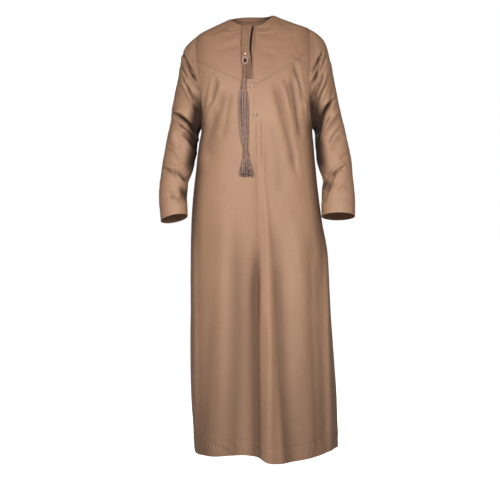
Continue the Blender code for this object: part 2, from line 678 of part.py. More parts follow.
def make_sleeve(name, side):
    """A set-in sleeve, from its armhole down the bent arm to the open cuff."""
    upper, lower, behind = armhole_stops(side)
    middle = [GORE_TOP_MIDDLE_AROUND, 180.0, 360 - GORE_TOP_MIDDLE_AROUND]
    around = np.concatenate([upper, lower[1:], middle, 360 - behind[:0:-1]])
    section = np.linspace(0, len(SLEEVES[side]), len(SLEEVES[side]) * SLEEVE_CELLS_PER_SECTION + 1)
    around, section = np.meshgrid(around, section)

    def form(a, s):
        return sleeve_form(side, a, s)

    def surface(a, s):
        s = np.clip(s, 0, len(SLEEVES[side]))
        point = form(a, s)
        frontness = ease(0.5 + 1.2 * np.sin(np.radians(a)))
        lift = fold_lift(SLEEVE_FOLDS[side], point[..., 0], point[..., 2], frontness)
        lift = lift * ease(s / SLEEVE_FOLDS_START)
        return point + side * facing(form, a, s, *SLEEVE_FORM_STEPS) * lift[..., None]

    outer = surface(around, section)
    out = side * facing(surface, around, section, *SLEEVE_STEPS)
    out[0, :, 0] = 0.0
    cloth_wall(name, outer, outer - unit(out) * CLOTH, BODY_COLOUR, ring=True)


def band_top(base):
    """The free edge of the neckband, drawn in and up from the neckline's points."""
    around = np.arctan2(base[:, 0], -base[:, 1])
    across, ahead = np.sin(around), np.cos(around)
    x = base[:, 0] - BAND_LEAN_SIDE * across**3
    y = base[:, 1] + np.where(ahead > 0, BAND_LEAN_FRONT, BAND_LEAN_BACK) * ahead
    leaning = (1 + across) / 2
    side_z = BAND_SIDE_Z[-1] * (1 - leaning) + BAND_SIDE_Z[1] * leaning
    end_z = np.where(ahead > 0, BAND_FRONT_Z, BAND_BACK_Z)
    return np.stack([x, y, side_z + (end_z - side_z) * np.abs(ahead) ** BAND_DIP], axis=-1)


def make_neckband():
    """The narrow band from one edge of the placket round the neck to the other."""
    front = front_neck_stops()
    left_end = HEM_CELLS[0]
    right_start = sum(HEM_CELLS[:4])
    back = np.linspace(90, 270, BACK_CELLS + 1)
    places = neckline(np.concatenate([front[right_start:], back[1:], front[1:left_end + 1]]))
    base = body_surface(places[:, 0], places[:, 1])
    base_out = body_facing(places[:, 0], places[:, 1])
    top = band_top(base)
    rise = top - base
    along = unit(np.gradient(base, axis=0))
    clear = unit(np.cross(along, base_out))
    clear = clear * np.sign(np.sum(clear * rise, axis=-1, keepdims=True)) * SEAM_GAP
    out = unit(np.cross(along, rise))
    outer, inner = [], []
    for part in (0.0, 0.5, 1.0):
        point = base + rise * part + clear * (1 - part) + out * math.sin(math.pi * part) * BAND_ROUND
        outer.append(point)
        inner.append(point - unit(base_out * (1 - part) + out * part) * CLOTH)
    cloth_wall("neckband", np.stack(outer), np.stack(inner), TRIM_COLOUR)


def strip(name, left, right, lift):
    """A placket strip on the yoke, between two edges that follow the height."""
    z = np.linspace(PLACKET_BOTTOM_Z, PLACKET_TOP_Z, PLACKET_CELLS[0] + 1)[:, None]
    part = np.linspace(0, 1, PLACKET_CELLS[1] + 1)[None, :]
    x = read(PLACKET, left, z) * (1 - part) + read(PLACKET, right, z) * part
    z = np.broadcast_to(z, x.shape)
    turn = turn_at(x, z)
    point, out = body_surface(turn, z), body_facing(turn, z)
    under = lift(x, z)[..., None]
    cloth_wall(name, point + out * (under + STRIP_CLOTH), point + out * under, TRIM_COLOUR)


def outer_strip_lift(x, z):
    """The outer strip rises from the yoke onto the under strip, and gapes at its free edge."""
    left = read(PLACKET, "outer_left", z)
    right = read(PLACKET, "outer_right", z)
    step = SEAM_GAP + STRIP_CLOTH
    onto = ease((x - left) / (read(PLACKET, "under_left", z) - STRIP_TURN_UP - left))
    gape = read(PLACKET, "gape", z) * np.clip((x - left) / (right - left), 0, 1) ** 2
    return STRIP_REST + step * onto + gape


def make_placket():
    """The under strip on the right edge of the slit, and the outer strip that laps it."""
    strip("placket_under", "under_left", "under_right", lambda x, z: np.full(np.shape(x), STRIP_REST))
    strip("placket_outer", "outer_left", "outer_right", outer_strip_lift)


def stand_on(place, lift):
    """A point over the cloth at a place of the front view, with across, up and out directions."""
    turn = turn_at(place.x, place.z)
    point, out = body_surface(turn, place.z), body_facing(turn, place.z)
    across = unit(np.cross(np.array([0.0, 0.0, 1.0]), out) * -1)
    across = across if across[0] > 0 else -across
    return point + out * lift, across, unit(np.cross(out, across)), out


def strip_top(place):
    """The height of the outer strip's face over the yoke."""
    return float(outer_strip_lift(np.array(place.x), np.array(place.z))) + STRIP_CLOTH


def make_turned(name, place, lift, profile, sides, colour, roughness):
    """A round piece turned about the cloth's outward direction."""
    origin, across, up, out = stand_on(place, lift)
    bm = bmesh.new()
    rings = []
    for radius, height in profile[1:-1]:
        ring = []
        for angle in np.linspace(0, 2 * math.pi, sides, endpoint=False):
            spoke = across * math.cos(angle) + up * math.sin(angle)
            ring.append(bm.verts.new((origin + spoke * radius + out * height) * MM))
        rings.append(ring)
    ends = [bm.verts.new((origin + out * profile[i][1]) * MM) for i in (0, -1)]
    for lower, upper in zip(rings, rings[1:]):
        for i in range(sides):
            bm.faces.new([lower[i], lower[(i + 1) % sides], upper[(i + 1) % sides], upper[i]])
    for i in range(sides):
        bm.faces.new([ends[0], rings[0][(i + 1) % sides], rings[0][i]])
        bm.faces.new([ends[1], rings[-1][i], rings[-1][(i + 1) % sides]])
    return make_object(name, bm, colour, roughness)


def round_profile(radius, rings):
    """The half outline of a ball, from its foot to its top."""
    angles = np.linspace(-math.pi / 2, math.pi / 2, rings)
    return [(radius * math.cos(a), radius * math.sin(a)) for a in angles]


def make_buttons():
    """Two small covered buttons on the front panel, the bead stud and the loop's knot."""
    profile = [(point.share * BUTTON_RADIUS, point.height) for point in BUTTON_OUTLINE]
    for name, place in BUTTON_PLACES:
        make_turned(name, place, SEAM_GAP, profile, BUTTON_SIDES, BODY_COLOUR, BUTTON_ROUGHNESS)
    make_turned("stud_bead", BEAD_PLACE, strip_top(BEAD_PLACE) + SEAM_GAP + BEAD_RADIUS,
                round_profile(BEAD_RADIUS, BEAD_RINGS), BEAD_SIDES, BEAD_COLOUR, BEAD_ROUGHNESS)
    make_turned("loop_knot", KNOT_PLACE, strip_top(KNOT_PLACE) + SEAM_GAP + KNOT_RADIUS,
                round_profile(KNOT_RADIUS, KNOT_RINGS), KNOT_SIDES, TRIM_COLOUR, KNOT_ROUGHNESS)


def make_tube(name, centres, across, out, half_widths, half_depths, sides, closed=False):
    """A rod of oval section along its centres, with flat ends, or a closed hoop."""
    bm = bmesh.new()
    rings = []
    for i, centre in enumerate(centres):
        angles = np.linspace(0, 2 * math.pi, sides, endpoint=False)
        ring = [centre + across[i] * half_widths[i] * math.cos(a) + out[i] * half_depths[i] * math.sin(a)
                for a in angles]
        rings.append([bm.verts.new(point * MM) for point in ring])
    pairs = list(zip(rings, rings[1:])) + ([(rings[-1], rings[0])] if closed else [])
    for lower, upper in pairs:
        for i in range(sides):
            bm.faces.new([lower[i], lower[(i + 1) % sides], upper[(i + 1) % sides], upper[i]])
    if not closed:
        bm.faces.new(rings[0][::-1])
        bm.faces.new(rings[-1])
    return make_object(name, bm, SILK_COLOUR, SILK_ROUGHNESS)


def tassel_frame(z, lift):
    """A point on the tassel's line at a height, with its directions."""
    heights = [place.z for place in TASSEL_LINE][::-1]
    x = float(smooth(z, heights, [place.x for place in TASSEL_LINE][::-1]))
    return stand_on(SeamPoint(x, z), lift)


def make_ring():
    """The oval cord ring that hangs below the bead."""
    lift = strip_top(RING_PLACE) + SEAM_GAP + RING_WIRE + RING_HANG
    origin, across, up, out = stand_on(RING_PLACE, lift)
    centres, sideways = [], []
    for angle in np.linspace(0, 2 * math.pi, RING_LINKS, endpoint=False):
        right, rise = math.cos(angle), math.sin(angle)
        centres.append(origin + across * RING_HALF_WIDTH * right + up * RING_HALF_HEIGHT * rise)
        sideways.append(unit(across * right / RING_HALF_WIDTH + up * rise / RING_HALF_HEIGHT))
    widths = [RING_WIRE] * len(centres)
    outward = [out] * len(centres)
    make_tube("tassel_ring", centres, sideways, outward, widths, widths, RING_SIDES, closed=True)


def make_rod(name, rows, sides):
    """A stretch of the tassel, lying on the cloth."""
    frames = [tassel_frame(row.z, row.half_depth + row.clear) for row in rows]
    make_tube(name, [f[0] for f in frames], [f[1] for f in frames], [f[3] for f in frames],
              column(rows, "half_width"), column(rows, "half_depth"), sides)


def make_strands(name, rows):
    """Silk strands that hang apart from one backing, each drawn out of a cell of its under face."""
    lines = []
    for count in STRAND_COUNTS[name]:
        cells = np.linspace(-1, 1, count + 1)
        margin = STRAND_MARGIN / count
        lines.append(np.sort(np.concatenate([cells[:-1] + margin, cells[1:] - margin, [-1, 1]])))
    frames = [tassel_frame(row.z, row.half_depth + row.clear) for row in rows]
    head = tassel_frame(rows[0].z + BACKING, rows[0].half_depth + rows[0].clear)

    def place(frame, row, u, v):
        origin, across, _, out = frame
        return (origin + across * row.half_width * u + out * row.half_depth * v) * MM

    bm = bmesh.new()
    under = [[bm.verts.new(place(frames[0], rows[0], u, v)) for u in lines[0]] for v in lines[1]]
    over = [[bm.verts.new(place(head, rows[0], u, v)) for u in lines[0]] for v in lines[1]]
    last_v, last_u = len(lines[1]) - 1, len(lines[0]) - 1
    rims = [(0, i, 0, i + 1) for i in range(last_u)]
    rims += [(last_v, i + 1, last_v, i) for i in range(last_u)]
    rims += [(i + 1, 0, i, 0) for i in range(last_v)]
    rims += [(i, last_u, i + 1, last_u) for i in range(last_v)]
    for a, b, c, d in rims:
        bm.faces.new([under[a][b], under[c][d], over[c][d], over[a][b]])
    for v in range(last_v):
        for u in range(last_u):
            bm.faces.new([over[v][u], over[v][u + 1], over[v + 1][u + 1], over[v + 1][u]])
            ring = [under[v][u], under[v][u + 1], under[v + 1][u + 1], under[v + 1][u]]
            if u % 2 == 0 or v % 2 == 0:
                bm.faces.new(ring)
                continue
            centre = np.array([(lines[0][u] + lines[0][u + 1]) / 2, (lines[1][v] + lines[1][v + 1]) / 2])
            half = np.array([(lines[0][u + 1] - lines[0][u]) / 2, (lines[1][v + 1] - lines[1][v]) / 2])
            half_size = half * np.array([rows[0].half_width, rows[0].half_depth])
            for frame, row in zip(frames[1:], rows[1:]):
                reach = half_size * row.size / np.array([row.half_width, row.half_depth])
                corners = [(-1, -1), (1, -1), (1, 1), (-1, 1)]
                below = [bm.verts.new(place(frame, row, *(centre + reach * np.array(c)))) for c in corners]
                for i in range(4):
                    bm.faces.new([ring[i], ring[(i + 1) % 4], below[(i + 1) % 4], below[i]])
                ring = below
            bm.faces.new(ring)
    return make_object(name, bm, SILK_COLOUR, SILK_ROUGHNESS)


def make_tassel():
    """The silk tassel that hangs over the placket and the chest."""
    make_ring()
    make_rod("tassel_braid", CORD, BRAID_SIDES)
    make_rod("tassel_top_knot", TOP_KNOT, TASSEL_KNOT_SIDES)
    make_strands("tassel_strands", STRANDS)
    make_rod("tassel_lower_knot", LOWER_KNOT, TASSEL_KNOT_SIDES)
    make_strands("tassel_fringe", FRINGE)


for old in list(bpy.data.objects):
    bpy.data.objects.remove(old, do_unlink=True)

make_front_panel()
make_front_yoke()
make_back_panel()
make_gore("gore_left", -1)
make_gore("gore_right", 1)
make_sleeve("sleeve_left", -1)
make_sleeve("sleeve_right", 1)
make_neckband()
make_placket()
make_buttons()
make_tassel()
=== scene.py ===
"""A collarless long-sleeved thobe in brown twill, as it hangs when worn.

Tables are in millimetres and meshes in metres, with Z up and the front facing -Y.
"""
import math
from collections import namedtuple

import bpy
import numpy as np
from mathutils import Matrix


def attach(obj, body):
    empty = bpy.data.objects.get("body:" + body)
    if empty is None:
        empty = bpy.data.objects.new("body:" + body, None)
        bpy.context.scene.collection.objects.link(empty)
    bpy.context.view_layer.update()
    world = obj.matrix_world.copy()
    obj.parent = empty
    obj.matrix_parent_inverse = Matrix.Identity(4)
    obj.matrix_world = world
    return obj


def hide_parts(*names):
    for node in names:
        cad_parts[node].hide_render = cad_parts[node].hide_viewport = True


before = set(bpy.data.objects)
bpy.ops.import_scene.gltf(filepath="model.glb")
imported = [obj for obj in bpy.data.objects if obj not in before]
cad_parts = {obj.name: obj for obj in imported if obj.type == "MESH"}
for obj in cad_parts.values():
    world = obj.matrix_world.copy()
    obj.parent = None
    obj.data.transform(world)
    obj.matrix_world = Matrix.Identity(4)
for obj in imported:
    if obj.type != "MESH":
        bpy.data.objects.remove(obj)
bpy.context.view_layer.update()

# The studio: a level camera in front, a pale floor where the feet would stand, and large soft
# boxes close to the camera's line, so that the cloth falls into shade towards its edges.
def new_object(name, data):
    made = bpy.data.objects.new(name, data)
    bpy.context.scene.collection.objects.link(made)
    return made


camera = new_object("camera", bpy.data.cameras.new("camera"))
camera.location = (-0.005, -5.0, -0.7656)
camera.rotation_euler = (math.radians(90), 0, 0)
camera.data.sensor_width = 36.0
camera.data.lens = 109.09
bpy.context.scene.camera = camera
bpy.context.scene.view_settings.view_transform = "Standard"

SoftBox = namedtuple("SoftBox", "name place aim size watts")
SOFT_BOXES = (
    SoftBox("soft_box_left", (-0.85, -2.4, 0.3), (0.03, 0, -0.45), 0.8, 43),
    SoftBox("soft_box_right", (0.85, -2.4, 0.15), (0.03, 0, -0.5), 0.8, 39.5),
    SoftBox("soft_box_back", (-0.5, 3.6, 0.3), (0, 0, -0.6), 1.4, 95),
)
for box in SOFT_BOXES:
    lamp = bpy.data.lights.new(box.name, "AREA")
    lamp.energy = box.watts
    lamp.size = box.size
    holder = new_object(box.name, lamp)
    holder.location = box.place
    aim = [box.aim[i] - box.place[i] for i in range(3)]
    across = math.hypot(aim[0], aim[1])
    holder.rotation_euler = (math.atan2(across, -aim[2]), 0, math.atan2(-aim[0], aim[1]))
    holder.visible_camera = False

# The room is white to the eye, and lights the cloth only a little.
world = bpy.data.worlds.new("studio")
bpy.context.scene.world = world
world.use_nodes = True
room = world.node_tree
faint = room.nodes["Background"]
faint.inputs["Color"].default_value = (1.0, 0.97, 0.94, 1.0)
faint.inputs["Strength"].default_value = 0.12
bright = room.nodes.new("ShaderNodeBackground")
bright.inputs["Color"].default_value = (1.0, 1.0, 1.0, 1.0)
seen = room.nodes.new("ShaderNodeLightPath").outputs["Is Camera Ray"]
either = room.nodes.new("ShaderNodeMixShader")
room.links.new(seen, either.inputs[0])
room.links.new(faint.outputs[0], either.inputs[1])
room.links.new(bright.outputs[0], either.inputs[2])
room.links.new(either.outputs[0], room.nodes["World Output"].inputs["Surface"])

FLOOR_Z = -1.56
FLOOR_REACH = 30.0
floor_mesh = bpy.data.meshes.new("floor")
floor_corners = ((-1, -1), (1, -1), (1, 1), (-1, 1))
floor_mesh.from_pydata([(x * FLOOR_REACH, y * FLOOR_REACH, FLOOR_Z) for x, y in floor_corners],
                       [], [(0, 1, 2, 3)])
floor = new_object("floor", floor_mesh)
paper = bpy.data.materials.new("floor_paper")
paper.use_nodes = True
paper_tree = paper.node_tree
paper_shader = paper_tree.nodes["Principled BSDF"]
paper_shader.inputs["Base Color"].default_value = (0.62, 0.615, 0.61, 1)
paper_shader.inputs["Roughness"].default_value = 0.9
paper_shader.inputs["Emission Color"].default_value = (1, 1, 1, 1)
looked_at = paper_tree.nodes.new("ShaderNodeLightPath").outputs["Is Camera Ray"]
paper_tree.links.new(looked_at, paper_shader.inputs["Emission Strength"])
floor_mesh.materials.append(paper)


# The front: one length of smooth brown twill from the chest seam to the hem, sewn to the gores
# at its sides and to the sleeves above them. It hangs in soft upright folds, with one deep
# crease below the buttons, and ends in a wide hem that is turned up and stitched all round.
MM = 0.001
THIN = 0.8
SEAM_GAP = 0.3


def table(kind, *rows):
    """The rows of a table, with a name for each of their values."""
    return [kind(*row) for row in rows]


BodyRow = namedtuple("BodyRow", "z left right front back")
BODY = table(
    BodyRow,
    (-1500, -186, 284, 218, 176), (-1393, -191, 285, 209, 170), (-1260, -199, 282, 198, 162),
    (-1096, -202, 270, 185, 152), (-930, -200, 257, 172, 142), (-766, -200, 244, 162, 133),
    (-600, -194, 223, 155, 120), (-469, -179, 209, 150, 112), (-420, -173, 205, 149, 113),
    (-366, -165, 201, 148, 116), (-330, -176, 208, 147, 118), (-280, -190, 215, 144, 122),
    (-220, -200, 219, 136, 124), (-170, -203, 218, 125, 122), (-120, -198, 212, 110, 117),
    (-80, -187, 203, 94, 109), (-58, -175, 196, 84, 102), (-46, -156, 192, 76, 96),
    (-33, -130, 182, 67, 88), (-20, -103, 145, 57, 79), (-7, -77, 109, 46, 67), (0, -65, 91, 40, 60),
    (7, -53, 74, 34, 53), (20, -34, 43, 24, 40),
)
SQUARENESS = 0.24
HemPoint = namedtuple("HemPoint", "turn z")
HEM = table(
    HemPoint,
    (-90, -1426), (-64, -1428), (-43, -1425), (-29, -1419), (-14, -1417), (-6, -1424), (-1, -1437),
    (9, -1443), (24, -1435), (53, -1418), (66, -1410), (90, -1412), (114, -1416), (180, -1422),
    (246, -1425), (270, -1426),
)
HEM_DEPTH = 48.0
ARMHOLE_TOP = {-1: -57.0, 1: -32.0}
ARMHOLE_BOTTOM = -366.0
ARMHOLE_FRONT_REACH = 32.0
ARMHOLE_LOW_SWELL = 5.0
ARMHOLE_BACK_REACH = 28.0
YOKE_END_AROUND = {-1: 67.0, 1: 61.0}
GORE_TOP_AROUND = 172.0
GORE_HEM_FRONT = 26.0
GORE_HEM_BACK = 24.0
GORE_SPREAD = 0.75
SIDE_SEAM_STOPS = (0, 0.002, 0.062, 1)
SIDE_SEAM_CELLS = (1, 26, 172)
TOP_HOLD = 3.0
SeamPoint = namedtuple("SeamPoint", "x z")
YOKE_LEFT_LIMB = table(SeamPoint, (-148, -167), (-92, -196), (-43, -219))
YOKE_POINT = SeamPoint(21, -232)
YOKE_RIGHT_LIMB = table(SeamPoint, (67, -203), (114, -177), (157, -141))
PLACKET_COLUMN_X = -36.0
SLIT_X = {-1: -9.0, 1: 3.0}

# Ridges (height above 0) and troughs (below 0) along lines of a front or back view. A lean
# above 0 makes a fold that runs down steep on its left side and gentle on its right.
Fold = namedtuple("Fold", "side x0 z0 x1 z1 bow width height lean")


def folds(side, *rows):
    return [Fold(side, *row) for row in rows]


BODY_FOLDS = folds(
    "front",
    # the deep crease below the buttons, the ridge beside it and the next crease
    (20, -700, 19, -1660, 0, 20, -13, -0.45), (12, -350, 19, -1050, -3, 11, -3.2, -0.3),
    (46, -420, 60, -1560, 4, 17, 5, 0), (54, -900, 62, -1680, 0, 22, 8, 0),
    (30, -366, 76, -820, 2, 13, -4, 0.3), (62, -640, 138, -1740, 0, 23, -10.5, 0.3),
    # the skirt's other folds
    (196, -660, 208, -1600, 0, 17, -4, 0), (158, -640, 166, -1250, 0, 28, 4, 0),
    (-78, -560, -128, -1500, 4, 24, 3.2, -0.2), (-54, -620, -60, -1700, 0, 32, -7, 0),
    (-140, -900, -166, -1700, 0, 20, -3, 0), (-168, -900, -160, -1560, 0, 22, -2, 0),
    (238, -620, 256, -1500, -2, 9, 6, 0.4), (222, -760, 238, -1500, -2, 15, -3.5, -0.2),
    (-184, -620, -180, -1500, 0, 9, 4, -0.3),
    # drawn from the chest seam to the underarms
    (-88, -240, -156, -480, -8, 15, -7, 0.3), (-115, -206, -132, -300, 0, 9, -5, 0.4),
    (-100, -214, -122, -330, 2, 8, 4, 0), (-112, -260, -172, -520, -6, 16, 5, 0),
    (-60, -252, -98, -420, -4, 14, -3, 0.2), (70, -206, 150, -540, 4, 12, -6.5, -0.3),
    (84, -206, 128, -380, 4, 9, 3, 0), (119, -196, 166, -420, 6, 13, -6, -0.3),
    (132, -156, 172, -300, 6, 9, -6, -0.3), (96, -210, 146, -400, 5, 12, 4, 0),
    (144, -196, 176, -330, 4, 8, 4, 0), (62, -330, 96, -620, 6, 22, -3, 0),
    # puckers at the ends of the chest seam
    (132, -136, 172, -150, 0, 7, -1.8, 0), (126, -152, 176, -168, 0, 8, 1.6, 0),
    (140, -116, 180, -132, 0, 7, -1.2, 0), (-176, -182, -124, -188, 0, 7, 1.5, 0),
    (-170, -196, -118, -202, 0, 8, -1.5, 0),
    # soft level creases across the yoke
    (-36, -46, -96, -40, 6, 5, -2.2, 0), (-34, -58, -112, -66, 5, 7, -1.4, 0),
    (-34, -72, -104, -96, 4, 10, 1.2, 0), (-36, -96, -120, -120, 4, 10, -1.6, 0),
    (12, -44, 66, -32, -5, 5, -2.2, 0), (14, -60, 100, -56, -6, 7, -1.4, 0),
    (14, -78, 108, -86, -6, 9, 1.2, 0), (16, -118, 96, -136, -5, 12, -1.6, 0),
    (-70, -20, -150, -66, 6, 9, -2.4, 0), (84, -12, 150, -40, -6, 9, -2.4, 0),
) + folds(
    "back",
    # the back: the same kinds of fold from the shoulder blades down
    (6, -240, 20, -1560, 8, 24, -9, 0.3), (74, -420, 96, -1560, 6, 24, 8, 0),
    (-62, -380, -84, -1560, -4, 24, 8, 0), (132, -520, 160, -1560, 4, 20, -6, 0.2),
    (-118, -500, -134, -1560, 0, 20, -6, -0.3), (44, -700, 54, -1560, 0, 17, -5, -0.3),
    (-26, -620, -40, -1560, 0, 18, -4, 0.3), (196, -760, 216, -1500, 0, 18, 5, 0),
    (-160, -700, -166, -1500, 0, 18, 4, 0), (120, -180, 168, -420, 8, 13, -6, -0.3),
    (-108, -190, -158, -430, -8, 13, -6, 0.3), (84, -200, 132, -470, 6, 13, -5, 0),
    (-70, -210, -116, -480, -6, 13, -5, 0), (140, -150, 180, -330, 8, 9, 4, 0),
    (-128, -160, -170, -340, -8, 9, 4, 0), (-60, -60, 62, -64, 10, 14, -3, 0),
    (-44, -30, 48, -32, 8, 8, -2, 0),
)
FOLD_FADE = 0.22
FOLD_DEPTH = 1.4
FOLD_WANDER = 0.16
RIDGE_ROUNDNESS = 2.0
TROUGH_ROUNDNESS = 1.65

# Sharp creases: narrow lines that sink into the cloth, in a front view.
Crease = namedtuple("Crease", "x0 z0 x1 z1 bow width depth")
BODY_CREASES = table(
    Crease,
    # out of the armholes
    (-112, -196, -136, -322, -4, 4.8, 1.3), (-96, -228, -128, -380, -6, 5.6, 1.1),
    (-134, -212, -158, -300, -3, 4.0, 1.5), (-140, -252, -166, -352, -3, 4.0, 1.6),
    (-64, -246, -84, -372, -3, 5.0, 0.9), (124, -186, 152, -344, 5, 5.2, 1.3),
    (134, -150, 166, -276, 5, 4.4, 1.8), (66, -200, 98, -352, 4, 5.6, 0.9),
    (148, -232, 172, -340, 3, 4.0, 1.6), (100, -196, 128, -330, 4, 4.6, 1.0),
    # from the seam's right end
    (128, -126, 168, -136, 1, 3.0, 1.0), (132, -142, 172, -154, 1, 3.0, 0.9),
    (126, -156, 158, -172, 1, 3.0, 0.6), (-176, -176, -136, -180, 0, 3.0, 0.8),
    # gathered in a little beside the placket at the neck
    (-34, -40, -70, -34, 3, 2.2, 1.1), (-34, -48, -82, -44, 4, 2.4, 1.3),
    (-34, -57, -74, -58, 3, 2.4, 1.1), (12, -42, 48, -30, -3, 2.2, 1.1), (12, -52, 66, -42, -4, 2.4, 1.3),
    (14, -64, 58, -60, -3, 2.4, 1.0),
    # the yoke tucks in along both sides of the placket
    (-34.6, -34, -34.6, -178, 0, 1.9, 2.6), (11.2, -34, 9.6, -130, 0, 1.8, 1.8),
    # the straight lines under the buttons
    (5, -252, 10, -320, 0, 2.2, 1.0), (13, -343, 15, -470, 0, 2.4, 1.4),
    (30, -330, 34, -520, 0, 3.6, 1.4), (-8, -330, -12, -560, 0, 4.6, 1.0),
)
CREASE_FADE = 0.2
CREASE_WANDER = 0.3
CREASE_ROUNDNESS = 1.5
Roll = namedtuple("Roll", "aside height spread")
CREASE_ROLLS = table(Roll, (2.3, 0.42, 1.0), (-2.3, 0.42, 1.8))


def bend(part, first, second, first_slope, second_slope, span=1.0):
    """A smooth curve from one value to the next, which leaves and arrives by these slopes."""
    return ((2 * part**3 - 3 * part**2 + 1) * first + (3 * part**2 - 2 * part**3) * second
            + (part**3 - 2 * part**2 + part) * span * first_slope
            + (part**3 - part**2) * span * second_slope)


def smooth(at, keys, values):
    """Values read off a smooth curve through the keys, which run from low to high."""
    keys = np.asarray(keys, float)
    values = np.asarray(values, float)
    slopes = np.gradient(values, keys, axis=0)
    at = np.clip(np.asarray(at, float), keys[0], keys[-1])
    first = np.clip(np.searchsorted(keys, at, side="right") - 1, 0, len(keys) - 2)
    span = keys[first + 1] - keys[first]
    part = (at - keys[first]) / span
    return bend(part, values[first], values[first + 1], slopes[first], slopes[first + 1], span)


def column(rows, name):
    return [getattr(row, name) for row in rows]


def read(rows, name, z):
    """One column of a table of heights, read between its rows."""
    return smooth(z, column(rows, "z"), column(rows, name))


def unit(vectors):
    return vectors / np.linalg.norm(vectors, axis=-1, keepdims=True)


def ease(part):
    part = np.clip(part, 0, 1)
    return part * part * (3 - 2 * part)


def bell(distance, reach):
    return np.exp(-((distance / reach) ** 2))


def spread(stops, cells):
    """Values from stop to stop, evenly in each stretch of so many cells."""
    values = [np.linspace(stops[i], stops[i + 1], cells[i] + 1)[:-1] for i in range(len(cells))]
    return np.append(np.concatenate(values), stops[-1])


def body_form(turn, z):
    """A point of the body before its folds, by its turn from the front and its height."""
    turn, z = np.broadcast_arrays(np.asarray(turn, float), np.asarray(z, float))
    across, ahead = np.sin(np.radians(turn)), np.cos(np.radians(turn))
    left, right = read(BODY, "left", z), read(BODY, "right", z)
    depth = np.where(ahead > 0, read(BODY, "front", z), read(BODY, "back", z))
    x = (left + right) / 2 + (right - left) / 2 * across
    y = -depth * ahead * (1 + SQUARENESS * across**2)
    return np.stack([x, y, z], axis=-1)


def turn_at(x, z):
    """The turn of the front point at this place of a front view."""
    left, right = read(BODY, "left", z), read(BODY, "right", z)
    across = (2 * np.asarray(x, float) - left - right) / (right - left)
    return np.degrees(np.arcsin(np.clip(across, -1, 1)))


def facing(surface, first, second, steps):
    """The outward direction of a surface, from its points these steps beside."""
    along = surface(first + steps[0], second) - surface(first - steps[0], second)
    upward = surface(first, second + steps[1]) - surface(first, second - steps[1])
    return unit(np.cross(along, upward))


def beside_line(line, point):
    """How far along a line each point lies, and how far to its right if it runs down."""
    run_x, run_z = line.x1 - line.x0, line.z1 - line.z0
    length = math.hypot(run_x, run_z)
    from_x, from_z = point[..., 0] - line.x0, point[..., 2] - line.z0
    along = (from_x * run_x + from_z * run_z) / length**2
    aside = (from_z * run_x - from_x * run_z) / length
    return along, aside - line.bow * np.sin(np.pi * np.clip(along, 0, 1))


def fading(along, share):
    """1 along a line, and down to 0 over a share of it at each end."""
    return ease(along / share) * ease((1 - along) / share)


def fold_lift(lines, point, frontness):
    """How far the folds raise the cloth at a point of its form."""
    lift = 0.0
    for number, fold in enumerate(lines):
        along, aside = beside_line(fold, point)
        aside = aside + FOLD_WANDER * fold.width * np.sin(along * (5 + number % 4) + number)
        reach = fold.width * np.where(aside > 0, 1 + fold.lean, 1 - fold.lean)
        roundness = RIDGE_ROUNDNESS if fold.height > 0 else TROUGH_ROUNDNESS
        rise = fold.height * np.exp(-np.abs(aside / reach) ** roundness) * fading(along, FOLD_FADE)
        lift = lift + rise * (frontness if fold.side == "front" else 1 - frontness)
    return lift


def crease_lift(lines, point):
    """How far sharp creases sink the cloth, with the small rolls that rise beside them."""
    lift = 0.0
    for number, crease in enumerate(lines):
        along, aside = beside_line(crease, point)
        wander = CREASE_WANDER * crease.width * np.sin(along * (4 + number % 3) + number)
        aside = (aside + wander) / crease.width
        profile = -np.exp(-np.abs(aside) ** CREASE_ROUNDNESS)
        for roll in CREASE_ROLLS:
            profile = profile + roll.height * np.exp(-((aside - roll.aside) ** 2) / roll.spread)
        lift = lift + crease.depth * profile * fading(along, CREASE_FADE)
    return lift


def crumple(points, length, seed):
    """Small uneven swellings of the cloth, about from -1 to 1 and so many millimetres long."""
    chance = np.random.default_rng(seed)
    waves = 12
    ways = unit(chance.normal(size=(waves, 3)))
    starts = chance.uniform(0, 2 * math.pi, waves)
    sizes = chance.uniform(0.6, 1.7, waves)
    total = 0.0
    for way, start, size in zip(ways, starts, sizes):
        total = total + np.sin(points @ way * (2 * math.pi / (length * size)) + start)
    return total / math.sqrt(2 * waves)


def hem_line(turn):
    """Turn and height along the hem."""
    round_turn = (np.asarray(turn, float) + 90) % 360 - 90
    return np.stack([turn, smooth(round_turn, column(HEM, "turn"), column(HEM, "z"))], axis=-1)


# The cloth's own unevenness is stretched upright, and greater low down. The hem puckers where its
# turn is stitched, and the stitches pull a groove.
Swell = namedtuple("Swell", "height low_height upright length seed")
BODY_SWELLS = table(Swell, (0.5, 2.3, 0.16, 105, 3), (0.45, 0.0, 0.5, 40, 5))
SWELL_TOP_Z = -420.0
SWELL_RUN = 700.0
HEM_PUCKER = 2.1
HEM_PUCKER_LENGTH = 17.0
HEM_PUCKER_SLANT = 0.4
HEM_PUCKER_PART = 0.72
HEM_PUCKER_REACH = 26.0
HEM_GROOVE = 0.9
HEM_GROOVE_REACH = 2.6
FORM_STEPS = (0.2, 0.5)


def body_places(turn, z):
    """Turns and heights in one shape, their points on the form, and how far each faces forward."""
    turn, z = np.broadcast_arrays(np.asarray(turn, float), np.asarray(z, float))
    return turn, z, body_form(turn, z), ease(0.5 + 1.5 * np.cos(np.radians(turn)))


